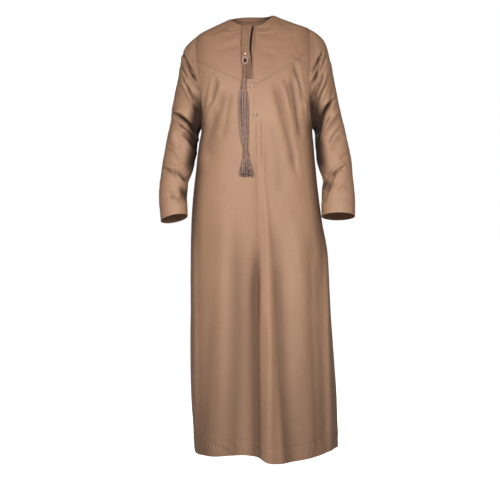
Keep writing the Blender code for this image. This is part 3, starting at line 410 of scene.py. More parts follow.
def body_surface(turn, z):
    """A point of the body's outer face, with its folds, its creases and its hem's puckers."""
    turn, z, point, frontness = body_places(turn, z)
    lift = FOLD_DEPTH * fold_lift(BODY_FOLDS, point, frontness)
    low = ease((SWELL_TOP_Z - z) / SWELL_RUN)
    for swell in BODY_SWELLS:
        height = swell.height + swell.low_height * low
        lift = lift + height * crumple(point * (1, 1, swell.upright), swell.length, swell.seed)
    above_hem = z - hem_line(turn)[..., 1]
    near_hem = bell(above_hem - HEM_PUCKER_PART * HEM_DEPTH, HEM_PUCKER_REACH)
    uneven = ease(0.5 + 0.9 * crumple(point * (1, 1, 0.2), 150, 8))
    slanting = point * (1, 1, 0.35) + point[..., 2:] * (HEM_PUCKER_SLANT, 0, 0)
    lift = lift + near_hem * uneven * HEM_PUCKER * crumple(slanting, HEM_PUCKER_LENGTH, 6)
    lift = lift - HEM_GROOVE * bell(above_hem - HEM_DEPTH, HEM_GROOVE_REACH)
    lift = lift + crease_lift(BODY_CREASES, point) * frontness
    return point + facing(body_form, turn, z, FORM_STEPS) * lift[..., None]


# How much shade is painted into a place's colour, from 0 to 1: each amount grows as its
# measure passes its start, over its run.
Dim = namedtuple("Dim", "amount start run")
FOLD_DIM = Dim(0.6, 0, 13)
CREASE_DIM = Dim(0.36, 0, 3)
SIDEWAYS = Dim(1, 0.8, 0.2)
BESIDE_ARM_LEAST = 0.2
BESIDE_ARM = Dim(0.55, -900, 300)
BELOW_SHOULDER = Dim(1, 110, 150)
LOW_LEAST = 0.12
LOW_SIDEWAYS = Dim(0.14, 0.25, 0.4)
BELOW_KNEE = Dim(1, 850, 500)
LOW_RIGHT = Dim(0.1, 90, 60)
BELOW_CALF = Dim(1, 1000, 300)
CHEST_DIM = Dim(0.24, -350, 340)
BODY_DARKEST = 0.85


def dim(measure, by):
    return by.amount * ease((measure - by.start) / by.run)


def together(*shades):
    """Several shades on top of each other."""
    light = 1.0
    for shade in shades:
        light = light * (1 - shade)
    return 1 - light


def body_shade(turn, z):
    """Painted shade at a point, as little light comes there: in folds, beside the arms, low down, over the
    chest.
    """
    turn, z, point, frontness = body_places(turn, z)
    deep = fold_lift(BODY_FOLDS, point, frontness)
    sharp = crease_lift(BODY_CREASES, point) * frontness
    sideways = np.abs(np.sin(np.radians(turn)))
    beside_arm = dim(sideways, SIDEWAYS) * (BESIDE_ARM_LEAST + dim(z, BESIDE_ARM)) * dim(-z, BELOW_SHOULDER)
    low = (LOW_LEAST + dim(sideways, LOW_SIDEWAYS)) * dim(-z, BELOW_KNEE)
    low = low + dim(point[..., 0], LOW_RIGHT) * dim(-z, BELOW_CALF)
    shade = together(dim(-deep, FOLD_DIM) + dim(-sharp, CREASE_DIM), beside_arm, low, dim(z, CHEST_DIM))
    return np.clip(shade, 0, BODY_DARKEST)


def armhole(side, around, behind=False):
    """Turn and height on an armhole, from 0 at the shoulder tip to 180 at the underarm."""
    angle = np.radians(around)
    top = ARMHOLE_TOP[side]
    z = (top + ARMHOLE_BOTTOM) / 2 + (top - ARMHOLE_BOTTOM) / 2 * np.cos(angle)
    if behind:
        turn = side * (90 + ARMHOLE_BACK_REACH * np.sin(angle))
    else:
        reach = ARMHOLE_FRONT_REACH - ARMHOLE_LOW_SWELL * np.cos(angle)
        turn = side * (90 - reach * np.sin(angle))
    return np.stack(np.broadcast_arrays(turn, z), axis=-1)


def side_seam(side, behind):
    """Turn and height up the seam between a gore and a panel, closest together over the hem."""
    top_turn, top_z = armhole(side, GORE_TOP_AROUND, behind)
    hem_turn, hem_z = hem_line(side * (90 + GORE_HEM_BACK if behind else 90 - GORE_HEM_FRONT))
    z = hem_z + (top_z - hem_z) * spread(SIDE_SEAM_STOPS, SIDE_SEAM_CELLS)
    down = (top_z - z) / (top_z - hem_z)
    return np.stack([top_turn + (hem_turn - top_turn) * down**GORE_SPREAD, z], axis=-1)


def half_gap_turn(z):
    """Half a seam's gap, as degrees of turn near the sides of the form."""
    depth = np.minimum(read(BODY, "front", z), read(BODY, "back", z))
    return np.degrees(SEAM_GAP / 2 / depth)


def yoke_seam(cells):
    """Turn and height along the V seam, from the left armhole to the right one."""
    ends = {side: armhole(side, YOKE_END_AROUND[side]) for side in (-1, 1)}
    end_x = {side: float(body_form(*ends[side])[0]) for side in (-1, 1)}
    left = [SeamPoint(end_x[-1], ends[-1][1]), *YOKE_LEFT_LIMB, YOKE_POINT]
    right = [YOKE_POINT, *YOKE_RIGHT_LIMB, SeamPoint(end_x[1], ends[1][1])]
    x = spread((end_x[-1], PLACKET_COLUMN_X, SLIT_X[-1], SLIT_X[1], YOKE_POINT.x, end_x[1]), cells)
    z = np.where(x <= YOKE_POINT.x, smooth(x, column(left, "x"), column(left, "z")),
                 smooth(x, column(right, "x"), column(right, "z")))
    seam = np.stack([turn_at(x, z), z], axis=-1)
    seam[0], seam[-1] = ends[-1], ends[1]
    return seam


def shifted(places, turn=0.0, z=0.0):
    return places + np.stack(np.broadcast_arrays(turn, z), axis=-1)


def beside_seam(places, way):
    """A seam moved by half its gap towards one side."""
    return shifted(places, way * half_gap_turn(places[:, 1]))


def patch(bottom, top, left, right, hold=1.0):
    """Turn and height over a panel, filled in between its four edges."""
    bottom[0], bottom[-1] = left[0], right[0]
    top[0], top[-1] = left[-1], right[-1]
    across = np.linspace(0, 1, len(bottom))[None, :, None]
    up = np.linspace(0, 1, len(left))[:, None, None] ** hold
    corners = ((1 - across) * (1 - up) * bottom[0] + across * (1 - up) * bottom[-1]
               + (1 - across) * up * top[0] + across * up * top[-1])
    return ((1 - up) * bottom[None] + up * top[None]
            + (1 - across) * left[:, None] + across * right[:, None] - corners)


def along_cloth(points):
    """How far each point of a grid lies from its left, right, bottom and top edge."""
    across = np.cumsum(np.linalg.norm(np.diff(points, axis=1), axis=-1), axis=1)
    across = np.concatenate([np.zeros((len(points), 1)), across], axis=1)
    upward = np.cumsum(np.linalg.norm(np.diff(points, axis=0), axis=-1), axis=0)
    upward = np.concatenate([np.zeros((1, points.shape[1])), upward], axis=0)
    return {"left": across, "right": across[:, -1:] - across, "bottom": upward, "top": upward[-1:] - upward}


def grid_facing(points):
    """The outward direction of a grid whose columns run round to the right and rows upward."""
    return unit(np.cross(np.gradient(points, axis=1), np.gradient(points, axis=0)))


Shell = namedtuple("Shell", "points faces uv shade")


def faces_outward(points, faces):
    """Whether the faces of a closed shell point out of it."""
    a, b, c, d = (points[faces[:, i]] for i in range(4))
    return np.sum(np.cross(a, b) * c + np.cross(a, c) * d) > 0


def cloth_shell(outer, inner, lengths, shade, kept=None, ring=False):
    """A closed thin shell of cloth between two grids, with its own lengths as its UV map."""
    rows, columns = outer.shape[:2]
    row, span = np.meshgrid(np.arange(rows - 1), np.arange(columns - 1), indexing="ij")
    after = span + 1
    cells = np.stack([row * columns + span, row * columns + after,
                      (row + 1) * columns + after, (row + 1) * columns + span], axis=-1)
    cells = cells.reshape(-1, 4) if kept is None else cells[kept]
    count = rows * columns
    joined = np.arange(count)
    if ring:
        joined = joined - np.where(joined % columns == columns - 1, columns - 1, 0)
    laid = cells
    cells = joined[cells]
    edges = np.concatenate([cells[:, [i, (i + 1) % 4]] for i in range(4)])
    _, first, uses = np.unique(np.sort(edges, axis=1), axis=0, return_index=True, return_counts=True)
    rim = edges[first[uses == 1]]
    rims = np.stack([rim[:, 1], rim[:, 0], rim[:, 0] + count, rim[:, 1] + count], axis=-1)
    faces = np.concatenate([cells, cells[:, ::-1] + count, rims])
    points = np.concatenate([outer.reshape(-1, 3), inner.reshape(-1, 3)])
    used, renamed = np.unique(faces, return_inverse=True)
    faces = renamed.reshape(faces.shape)
    points = points[used]
    flat = np.tile(np.stack(lengths, axis=-1).reshape(-1, 2), (2, 1))
    uv = flat[used][faces]
    uv[:len(laid)] = flat[laid]
    uv[len(laid):2 * len(laid)] = flat[laid[:, ::-1]]
    if not faces_outward(points, faces):
        faces, uv = faces[:, ::-1], uv[:, ::-1]
    return Shell(points, faces, uv, np.tile(shade.ravel(), 2)[used])


def make_piece(name, shells, material, sharp=55):
    """One object of all its shells, with its lengths as its UV map and its shaded places marked."""
    faces, start = [], 0
    for shell in shells:
        faces += (np.asarray(shell.faces) + start).tolist()
        start += len(shell.points)
    mesh = bpy.data.meshes.new(name)
    mesh.from_pydata((np.concatenate([shell.points for shell in shells]) * MM).tolist(), [], faces)
    uv = mesh.uv_layers.new(name="cloth")
    flat_uv = np.concatenate([shell.uv.reshape(-1, 2) for shell in shells]) * MM
    uv.data.foreach_set("uv", flat_uv.ravel().astype(np.float32))
    shade = mesh.attributes.new("shade", "FLOAT", "POINT")
    shade.data.foreach_set("value", np.concatenate([shell.shade for shell in shells]).astype(np.float32))
    mesh.shade_smooth()
    mesh.set_sharp_from_angle(angle=math.radians(sharp))
    mesh.materials.append(material)
    return new_object(name, mesh)


EDGE_SHADE = 0.08
EDGE_DEPTH = 0.35
EDGE_WIDTH = 1.8
HEM_CLEAR = 0.3
SEAM_CLEAR = 0.35
SEAM_THICK = 0.6
FACE_STEPS = (0.2, 0.7)


def turned_under(points, out, rolled):
    """A grid with its sewn edges turned in, and how close each point is to such an edge."""
    lengths = along_cloth(points)
    closeness = np.zeros(points.shape[:2])
    for edge in rolled:
        closeness = np.maximum(closeness, bell(lengths[edge], EDGE_WIDTH))
    return points - out * (closeness * EDGE_DEPTH)[..., None], closeness


def body_facing(turn, z):
    return facing(body_surface, np.asarray(turn, float), np.asarray(z, float), FACE_STEPS)


def turned_up(outer, out, lengths, shade, rows, ring=False):
    """The hem's turned-up cloth, inside these rows of a shell."""
    within = (outer - out * (THIN + HEM_CLEAR))[rows]
    lengths = [part[rows] for part in lengths]
    return cloth_shell(within, within - (out * THIN)[rows], lengths, shade[rows], ring=ring)


def panel_shells(places, rolled, kept=None, hem_rows=0):
    """A panel of the body's cloth over a patch of turns and heights, with its hem turned up inside."""
    flat = body_surface(places[..., 0], places[..., 1])
    out = grid_facing(flat)
    outer, closeness = turned_under(flat, out, rolled)
    across = along_cloth(flat)["left"]
    lengths = (across - across[:, across.shape[1] // 2][:, None], places[..., 1])
    shade = EDGE_SHADE * closeness + body_shade(places[..., 0], places[..., 1])
    shells = [cloth_shell(outer, outer - out * THIN, lengths, shade, kept)]
    if hem_rows:
        shells.append(turned_up(outer, out, lengths, shade, slice(0, hem_rows)))
    return shells


def seam_shell(grid, out):
    """The seam's allowances, pressed flat behind it as one narrow strip."""
    behind = grid - out * (THIN + SEAM_CLEAR)
    lengths = along_cloth(grid)
    flat = (lengths["left"], lengths["bottom"])
    return cloth_shell(behind, behind - out * SEAM_THICK, flat, np.zeros(grid.shape[:2]))


def body_seam(places, turn=0.0, z=0.0):
    """The allowances behind a seam of the body, spread to both sides of it by a turn or a height."""
    grid = np.stack([shifted(places, turn * part, z * part) for part in (-1, -0.5, 0, 0.5, 1)])
    return seam_shell(body_surface(grid[..., 0], grid[..., 1]), body_facing(grid[..., 0], grid[..., 1]))


def add_node(tree, kind, at=None, **inputs):
    """One node of a tree, with its inputs set by name or place to values or to other nodes' outputs."""
    node = tree.nodes.new(kind)
    for key, value in (at or {}).items():
        setattr(node, key, value)
    for key, value in inputs.items():
        by_place = key[0] == "i" and key[1:].isdigit()
        socket = node.inputs[int(key[1:])] if by_place else node.inputs[key.replace("_", " ")]
        if isinstance(value, bpy.types.NodeSocket):
            tree.links.new(value, socket)
        else:
            socket.default_value = value
    return node


def new_surface(name, **settings):
    """A material with these settings of its shader, with its nodes and that shader."""
    material = bpy.data.materials.new(name)
    material.use_nodes = True
    tree = material.node_tree
    shader = tree.nodes["Principled BSDF"]
    for setting, value in settings.items():
        shader.inputs[setting.replace("_", " ")].default_value = value
    return material, tree, shader


def lay_of_cloth(tree):
    return add_node(tree, "ShaderNodeUVMap", {"uv_map": "cloth"}).outputs["UV"]


def place_in_object(tree):
    return add_node(tree, "ShaderNodeTexCoord").outputs["Object"]


def noise(tree, place, scale, detail=2.0):
    """Noise at a place, finer by one scale, or by a scale for each way."""
    if isinstance(scale, tuple):
        place = add_node(tree, "ShaderNodeMapping", Vector=place, Scale=scale).outputs["Vector"]
        scale = 1.0
    return add_node(tree, "ShaderNodeTexNoise", Vector=place, Scale=scale, Detail=detail).outputs["Fac"]


def wave(tree, place, direction, scale):
    bands = {"bands_direction": direction}
    return add_node(tree, "ShaderNodeTexWave", bands, Vector=place, Scale=scale).outputs["Fac"]


def sums(tree, operation, first, second, third=0.0):
    sum_node = add_node(tree, "ShaderNodeMath", {"operation": operation}, i0=first, i1=second, i2=third)
    return sum_node.outputs[0]


def mixed(tree, part, first, second):
    """A colour between two, each of them a colour or another node's output."""
    mix = add_node(tree, "ShaderNodeMix", {"data_type": "RGBA"}, Factor=part)
    for socket, colour in (("A", first), ("B", second)):
        if isinstance(colour, bpy.types.NodeSocket):
            tree.links.new(colour, mix.inputs[socket])
        else:
            mix.inputs[socket].default_value = (*colour, 1.0)
    return mix.outputs["Result"]


def darken_where_marked_and_bump(tree, shader, tone, dark, relief, strength, distance):
    """Lays a tone on a shader, dark where the mesh is marked as shaded, and raises its relief."""
    # The tone turns dark as far as the mesh's shade mark says.
    deep = add_node(tree, "ShaderNodeAttribute", {"attribute_name": "shade"}).outputs["Fac"]
    tree.links.new(mixed(tree, deep, tone, dark), shader.inputs["Base Color"])
    bump = add_node(tree, "ShaderNodeBump", Strength=strength, Distance=distance, Height=relief)
    tree.links.new(bump.outputs["Normal"], shader.inputs["Normal"])
    return deep


def times(colour, factors):
    return [value * factor for value, factor in zip(colour, factors)]


# Painted shade: where the mesh's shade mark is high, the cloth's colour turns towards these fractions of
# itself, and the cloth grows rougher.
PAINTED_SHADE_CLOTH = (0.08, 0.055, 0.05)
PAINTED_SHADE_ROUGHNESS = 0.97


def twill(name, colour, lighter, roughness=0.56):
    """Smooth brown twill: fine warp and weft, thicker threads here and there, a soft lustre and painted
    shade where marked.
    """
    material, tree, shader = new_surface(name, Specular_IOR_Level=0.36, Sheen_Weight=0.05,
                                         Sheen_Roughness=0.45, Sheen_Tint=(1.0, 0.84, 0.7, 1.0))
    lay = lay_of_cloth(tree)
    warp = wave(tree, lay, "X", 300.0)
    twist = wave(tree, lay, "DIAGONAL", 190.0)
    upright = noise(tree, lay, (900.0, 22.0, 1.0))
    slub = noise(tree, lay, (22.0, 900.0, 1.0))
    cloud = noise(tree, place_in_object(tree), 5.0, 3.0)
    threads = sums(tree, "ADD", sums(tree, "ADD", upright, slub), cloud)
    tone = mixed(tree, sums(tree, "MULTIPLY_ADD", threads, 1.5, -1.75), colour, lighter)
    relief = sums(tree, "MULTIPLY_ADD", slub, 1.2, sums(tree, "ADD", warp, twist))
    deep = darken_where_marked_and_bump(tree, shader, tone, times(colour, PAINTED_SHADE_CLOTH), relief, 0.14, 0.0002)
    dull = sums(tree, "MULTIPLY_ADD", deep, PAINTED_SHADE_ROUGHNESS - roughness, roughness)
    tree.links.new(dull, shader.inputs["Roughness"])
    return material


ROBE_CLOTH = twill("robe_cloth", (0.330, 0.183, 0.108), (0.385, 0.222, 0.136))
FRONT_CELLS = (70, 12, 6, 12, 78)
LOWER_ARMHOLE_POINTS = 44
HEM_ROWS = 22
FRONT_SEAM_TURN = 1.6
CHEST_SEAM_HEIGHT = 5.0


def make_front():
    edges = {}
    for side in (-1, 1):
        seam = beside_seam(side_seam(side, False), -side)
        around = np.linspace(GORE_TOP_AROUND, YOKE_END_AROUND[side], LOWER_ARMHOLE_POINTS)
        lower = armhole(side, around)
        edges[side] = np.concatenate([seam[:-1], lower])
        edges[side][len(seam) - 1, 0] -= side * half_gap_turn(ARMHOLE_BOTTOM)
        edges[side][-1, 1] -= SEAM_GAP / 2
    top = shifted(yoke_seam(FRONT_CELLS), z=-SEAM_GAP / 2)
    bottom = hem_line(np.linspace(edges[-1][0, 0], edges[1][0, 0], len(top)))
    places = patch(bottom, top, edges[-1], edges[1], TOP_HOLD)
    shells = panel_shells(places, ("left", "right", "top"), hem_rows=HEM_ROWS)
    shells += [body_seam(side_seam(side, False)[::3], turn=FRONT_SEAM_TURN) for side in (-1, 1)]
    shells.append(body_seam(yoke_seam(FRONT_CELLS), z=CHEST_SEAM_HEIGHT))
    return make_piece("front_cloth", shells, ROBE_CLOTH)


front = make_front()
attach(front, "root")
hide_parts("front_panel")


# The yoke: a doubled piece of the same twill across the chest, whose V seam is turned and
# stitched down. It runs up to the shoulder seams and the neck, and is slit down its middle.
YOKE_CLOTH = twill("yoke_cloth", (0.332, 0.174, 0.100), (0.386, 0.211, 0.126))
NECK_X = {-1: -77.0, 1: 76.0}
NECK_FRONT_Y = 73.0
NECK_BACK_Y = 62.0
NECK_LOWEST_Z = -90.0
NECK_HIGHEST_Z = 18.0
ON_THE_EDGE = 0.000001
NECKBAND_END_X = {-1: -34.0, 1: 12.0}
SLIT_BOTTOM_Z = -212.0
SLIT_GROWTH = 1.35
SLIT_SPARE = 1.0
SlitRow = namedtuple("SlitRow", "z x depth half_width")
SLIT = table(
    SlitRow,
    (-196, 1.2, 0.0, 1.4), (-170, 0.2, 1.6, 1.5), (-148, -0.6, 2.6, 1.8), (-124, -3.8, 4.6, 2.8),
    (-80, -1.7, 5.6, 3.3), (-55, 1.4, 5.4, 3.2), (-36, 4.8, 4.6, 2.8),
)
SHOULDER_CELLS = 32
UPPER_ARMHOLE_POINTS = 36
HALVINGS = 40


def neck_around(x):
    """The angle round the neck's oval of a front place."""
    middle, half = (NECK_X[1] + NECK_X[-1]) / 2, (NECK_X[1] - NECK_X[-1]) / 2
    return math.degrees(math.asin((x - middle) / half))


def neckline(around):
    """Turn and height of the neckline, where its oval meets the body form."""
    angle = np.radians(around)
    x = (NECK_X[1] + NECK_X[-1]) / 2 + (NECK_X[1] - NECK_X[-1]) / 2 * np.sin(angle)
    front_half = np.cos(angle) > 0
    depth = np.abs(np.where(front_half, NECK_FRONT_Y, NECK_BACK_Y) * np.cos(angle))
    low, high = np.full(x.shape, NECK_LOWEST_Z), np.full(x.shape, NECK_HIGHEST_Z)
    for _ in range(HALVINGS):
        z = (low + high) / 2
        turn = turn_at(x, z)
        reach = np.abs(body_form(np.where(front_half, turn, 180 - turn), z)[..., 1])
        too_high = reach <= depth + ON_THE_EDGE
        high = np.where(too_high, z, high)
        low = np.where(too_high, low, z)
    turn = turn_at(x, low)
    return np.stack([np.where(front_half, turn, 180 - turn), z], axis=-1)


def front_neck_stops(cells):
    """Places along the front neckline, with the slit and the placket's edges among them."""
    stops = [neck_around(x) for x in (NECKBAND_END_X[-1], SLIT_X[-1], SLIT_X[1], NECKBAND_END_X[1])]
    return spread([-90.0] + stops + [90.0], cells)


def shoulder_seam(side):
    """Turn and height up the shoulder seam, from its tip to the neck."""
    neck_z = neckline(np.array([side * 90.0]))[0, 1]
    z = np.linspace(ARMHOLE_TOP[side], neck_z, SHOULDER_CELLS + 1)[1:]
    return np.stack([np.full(len(z), side * 90.0), z], axis=-1)


def make_yoke():
    edges = {}
    for side in (-1, 1):
        upper = armhole(side, np.linspace(YOKE_END_AROUND[side], 0, UPPER_ARMHOLE_POINTS))
        upper[0, 1] += SEAM_GAP / 2
        upper[-1, 0] -= side * half_gap_turn(ARMHOLE_TOP[side])
        edges[side] = np.concatenate([upper, beside_seam(shoulder_seam(side), -side)])
    bottom = shifted(yoke_seam(FRONT_CELLS), z=SEAM_GAP / 2)
    top = neckline(front_neck_stops(FRONT_CELLS))
    places = patch(bottom, top, edges[-1], edges[1])
    cell = (places[:-1, :-1] + places[1:, :-1] + places[:-1, 1:] + places[1:, 1:]) / 4
    x, z = body_form(cell[..., 0], cell[..., 1])[..., 0], cell[..., 1]
    reach = SLIT_GROWTH * read(SLIT, "half_width", z) + SLIT_SPARE
    kept = (z < SLIT_BOTTOM_Z) | (np.abs(x - read(SLIT, "x", z)) > reach)
    return make_piece("chest_yoke", panel_shells(places, ("left", "right", "bottom"), kept), YOKE_CLOTH)


yoke = make_yoke()
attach(yoke, "root")
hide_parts("front_yoke")


# The back: one length of the robe's twill from the shoulder seams and the back of the neck to
# the hem, sewn to the gores and the sleeves.
BACK_CELLS = 146
BACK_ARMHOLE_POINTS = 66
BACK_SEAM_TURN = 1.8
SHOULDER_SEAM_TURN = 2.6


def make_back():
    edges = {}
    for side in (-1, 1):
        seam = beside_seam(side_seam(side, True), side)
        behind = armhole(side, np.linspace(GORE_TOP_AROUND, 0, BACK_ARMHOLE_POINTS), True)
        behind[0, 0] += side * half_gap_turn(ARMHOLE_BOTTOM)
        behind[-1, 0] += side * half_gap_turn(ARMHOLE_TOP[side])
        edges[side] = np.concatenate([seam[:-1], behind, beside_seam(shoulder_seam(side), side)])
    edges[-1][:, 0] += 360
    top = neckline(np.linspace(90, 270, BACK_CELLS + 1))
    bottom = hem_line(np.linspace(edges[1][0, 0], edges[-1][0, 0], BACK_CELLS + 1))
    shells = panel_shells(patch(bottom, top, edges[1], edges[-1]), ("left", "right"), hem_rows=HEM_ROWS)
    shells += [body_seam(side_seam(side, True)[::3], turn=BACK_SEAM_TURN) for side in (-1, 1)]
    shells += [body_seam(shoulder_seam(side)[::2], turn=SHOULDER_SEAM_TURN) for side in (-1, 1)]
    return make_piece("back_cloth", shells, ROBE_CLOTH)


back = make_back()
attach(back, "root")
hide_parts("back_panel")


# The gores: two side panels, narrow under the arms and wide at the hem, that give the skirt
# its flare. Each is sewn to the front and the back.
GORE_CELLS = 44


def make_gore(name, side):
    ahead = beside_seam(side_seam(side, False), side)
    behind = beside_seam(side_seam(side, True), -side)
    left, right = (behind, ahead) if side < 0 else (ahead, behind)
    across = np.linspace(0, 1, GORE_CELLS + 1)
    bottom = hem_line(left[0, 0] * (1 - across) + right[0, 0] * across)
    around = spread((GORE_TOP_AROUND, 180.0), (GORE_CELLS // 2,))
    halves = {back_half: armhole(side, around, back_half) for back_half in (False, True)}
    first, second = halves[side < 0], halves[side > 0]
    top = np.concatenate([first, second[::-1][1:]])
    places = patch(bottom, top, left, right, TOP_HOLD)
    return make_piece(name, panel_shells(places, ("left", "right"), hem_rows=HEM_ROWS), ROBE_CLOTH)


for gore_name, side in (("gore_left", -1), ("gore_right", 1)):
    gore = make_gore(gore_name + "_cloth", side)
    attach(gore, "root")
    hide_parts(gore_name)


# The sleeves: set into the armholes and cut wide, so they break into slanting creases under the
# arm, at the elbow and above the cuff, and end in a deep stitched hem.
SleeveRow = namedtuple("SleeveRow", "outer_x outer_z inner_x inner_z middle_y half_depth tip")
SLEEVES = {
    -1: table(
        SleeveRow,
        (-208, -86, -169, -373, 2, 82, 0), (-228, -119, -171, -379, 4, 82, 0),
        (-238, -172, -173, -386, 7, 81, 0), (-250, -231, -175, -396, 11, 78, 0),
        (-261, -286, -177, -408, 15, 75, 0), (-268, -340, -178, -424, 16, 71, 2),
        (-280, -398, -180, -444, 12, 67, 4), (-289, -452, -186, -469, 2, 64, 7),
        (-297, -504, -193, -502, -11, 61, 9), (-302, -552, -206, -542, -25, 58, 10),
        (-302, -606, -210, -592, -40, 55, 11), (-296, -672, -208, -654, -56, 52, 12),
    ),
    1: table(
        SleeveRow,
        (215, -52, 205, -372, 2, 82, 0), (241, -79, 207, -378, 4, 82, 0),
        (256, -125, 208, -385, 7, 81, 0), (269, -185, 209, -394, 11, 78, 0),
        (281, -244, 210, -405, 15, 75, 0), (293, -300, 211, -420, 16, 71, 2),
        (307, -362, 213, -440, 12, 67, 4), (319, -420, 215, -466, 2, 64, 7),
        (329, -474, 221, -498, -11, 61, 9), (333, -530, 233, -534, -25, 58, 10),
        (338, -590, 229, -578, -40, 56, 11), (338, -656, 228, -656, -58, 55, 12),
    ),
}
SLEEVE_SQUARENESS = 0.12
SLEEVE_FOLDS = {
    -1: folds(
        "front",
        # under the arm
        (-226, -136, -176, -214, -4, 8, -7, 0.4), (-214, -126, -168, -196, -4, 9, 4, 0),
        (-198, -192, -160, -255, -2, 7, -7, 0.4), (-186, -230, -160, -272, 0, 5, -4, 0.3),
        (-230, -205, -190, -280, 4, 9, 5, -0.3), (-222, -222, -180, -300, 4, 7, -5, 0.3),
        (-196, -262, -168, -316, 0, 8, 4, 0), (-192, -288, -172, -340, 0, 7, -4, 0),
        # the elbow
        (-262, -318, -172, -400, 10, 9, -10, 0.35), (-256, -304, -186, -368, 8, 10, 6, 0),
        (-226, -364, -172, -412, 4, 8, 6, 0), (-228, -378, -176, -446, 6, 8, -8, 0.3),
        (-258, -372, -236, -442, -6, 12, 4, 0),
        # the forearm and above the cuff
        (-292, -502, -236, -532, 4, 7, -5, 0.3), (-290, -488, -230, -516, 4, 9, 4, 0),
        (-256, -500, -204, -554, 5, 8, -6, 0.3), (-240, -484, -200, -526, 4, 9, 4, 0),
        (-272, -576, -246, -594, 0, 7, -2.5, 0), (-270, -588, -222, -614, 0, 8, -3, 0.3),
        (-232, -556, -208, -612, 3, 10, -3.5, 0),
    ) + folds(
        "back",
        (-226, -160, -172, -250, -4, 10, -7, -0.3), (-214, -200, -168, -290, -4, 9, 5, 0),
        (-236, -230, -178, -320, -4, 10, 5, 0), (-252, -272, -184, -350, -4, 8, -6, 0.3),
        (-266, -330, -180, -392, -8, 10, -9, 0.3), (-284, -400, -190, -440, -6, 10, 6, 0),
        (-280, -430, -200, -470, -6, 8, -5, -0.3), (-296, -520, -226, -566, 0, 10, -5, 0),
        (-292, -560, -234, -596, 0, 9, 4, 0),
    ),
    1: folds(
        "front",
        # under the arm
        (230, -132, 188, -190, 2, 7, -8, -0.4), (224, -160, 184, -222, 2, 9, 6, 0),
        (218, -182, 182, -242, 2, 6, -8, -0.4), (214, -202, 186, -250, 0, 5, -4, 0),
        (226, -214, 192, -292, -4, 8, -7, -0.3), (240, -210, 206, -286, -4, 9, 5, 0),
        (214, -262, 196, -330, -2, 8, -4, 0), (262, -140, 232, -226, -4, 12, 3, 0),
        # the elbow
        (272, -272, 208, -402, -12, 10, -11, -0.35), (290, -300, 226, -422, -12, 11, 7, 0),
        (258, -268, 210, -366, -10, 9, 4, 0), (304, -392, 250, -440, -4, 12, -4, 0),
        # the forearm and above the cuff
        (306, -496, 256, -540, -5, 7, -6, -0.3), (312, -484, 262, -522, -5, 9, 4, 0),
        (284, -502, 240, -530, 0, 7, -5, 0), (266, -540, 243, -580, 0, 7, -5, 0),
        (306, -560, 276, -578, 0, 8, 3, 0), (240, -560, 232, -620, 0, 8, -4, 0),
    ) + folds(
        "back",
        (244, -150, 190, -240, 4, 10, -7, -0.3), (232, -190, 188, -280, 4, 9, 5, 0),
        (256, -220, 198, -320, 4, 10, 5, 0), (272, -266, 206, -346, 4, 8, -6, 0.3),
        (288, -320, 212, -392, 8, 10, -9, 0.3), (306, -400, 226, -440, 6, 10, 6, 0),
        (304, -426, 236, -466, 6, 8, -5, 0), (326, -510, 250, -560, 0, 10, -5, 0),
        (322, -556, 262, -594, 0, 9, 4, 0),
    ),
}
SLEEVE_CREASES = {
    -1: table(
        Crease,
        (-232, -104, -180, -196, -5, 3.4, 5.5), (-214, -152, -170, -228, -4, 3.2, 5.5),
        (-236, -150, -176, -252, -6, 3.2, 3.6), (-206, -196, -160, -262, -3, 3.2, 5.0),
        (-228, -196, -172, -286, -5, 3.6, 4.4), (-214, -228, -166, -302, -4, 3.2, 3.6),
        (-196, -268, -168, -330, -2, 3.2, 3.0), (-268, -308, -176, -392, 8, 4.2, 7.0),
        (-246, -352, -182, -412, 5, 3.8, 5.0), (-234, -384, -184, -440, 4, 3.4, 4.0),
        (-262, -330, -214, -352, 3, 3.2, 2.6), (-294, -496, -238, -522, 3, 3.4, 3.4),
        (-262, -500, -204, -548, 4, 3.6, 3.6), (-276, -572, -236, -586, 0, 3.0, 1.4),
        (-272, -586, -226, -606, 1, 3.2, 1.8), (-230, -560, -208, -600, 2, 3.8, 2.0),
        (-286, -430, -232, -470, 4, 4.0, 2.2), (-210, -40, -206, -130, 0, 3.0, 1.2),
    ),
    1: table(
        Crease,
        (236, -112, 188, -196, 4, 3.4, 5.5), (226, -152, 186, -232, 3, 3.2, 6.0),
        (248, -120, 200, -216, 4, 3.4, 3.4), (216, -184, 188, -246, 2, 3.0, 5.0),
        (236, -184, 190, -288, 5, 3.4, 5.0), (248, -204, 204, -306, 5, 3.6, 3.2),
        (212, -252, 194, -322, 2, 3.2, 3.4), (280, -262, 214, -398, -10, 4.2, 7.5),
        (262, -322, 222, -404, -5, 3.4, 3.6), (300, -356, 248, -424, -5, 3.8, 2.8),
        (308, -488, 258, -526, -4, 3.4, 3.6), (284, -492, 244, -520, -2, 3.0, 2.8),
        (266, -530, 246, -574, -2, 3.2, 3.2), (318, -548, 272, -576, -3, 3.4, 2.0),
        (246, -566, 238, -612, 0, 3.2, 2.6), (268, -232, 252, -330, -3, 4.4, 2.4),
        (330, -440, 284, -476, -4, 4.2, 2.0),
    ),
}
SLEEVE_FOLD_DEPTH = 1.3
SLEEVE_FOLDS_START = 1.6
SLEEVE_HEAD_DEPTH = 0.25
SLEEVE_HEAD_RUN = 0.25
SLEEVE_SWELLS = ((0.8, 60, 11), (0.4, 26, 14))
SLEEVE_STEPS = (1.0, 0.05)
SLEEVE_FACE_STEPS = (1.0, 0.04)
SECTIONS = len(SLEEVES[1])
CUFF_SECTION = SECTIONS - 0.9
CUFF_CALM = 0.55
CUFF_STITCH_SECTION = SECTIONS - 0.6
CUFF_GROOVE = 0.8
CUFF_GROOVE_REACH = 0.03


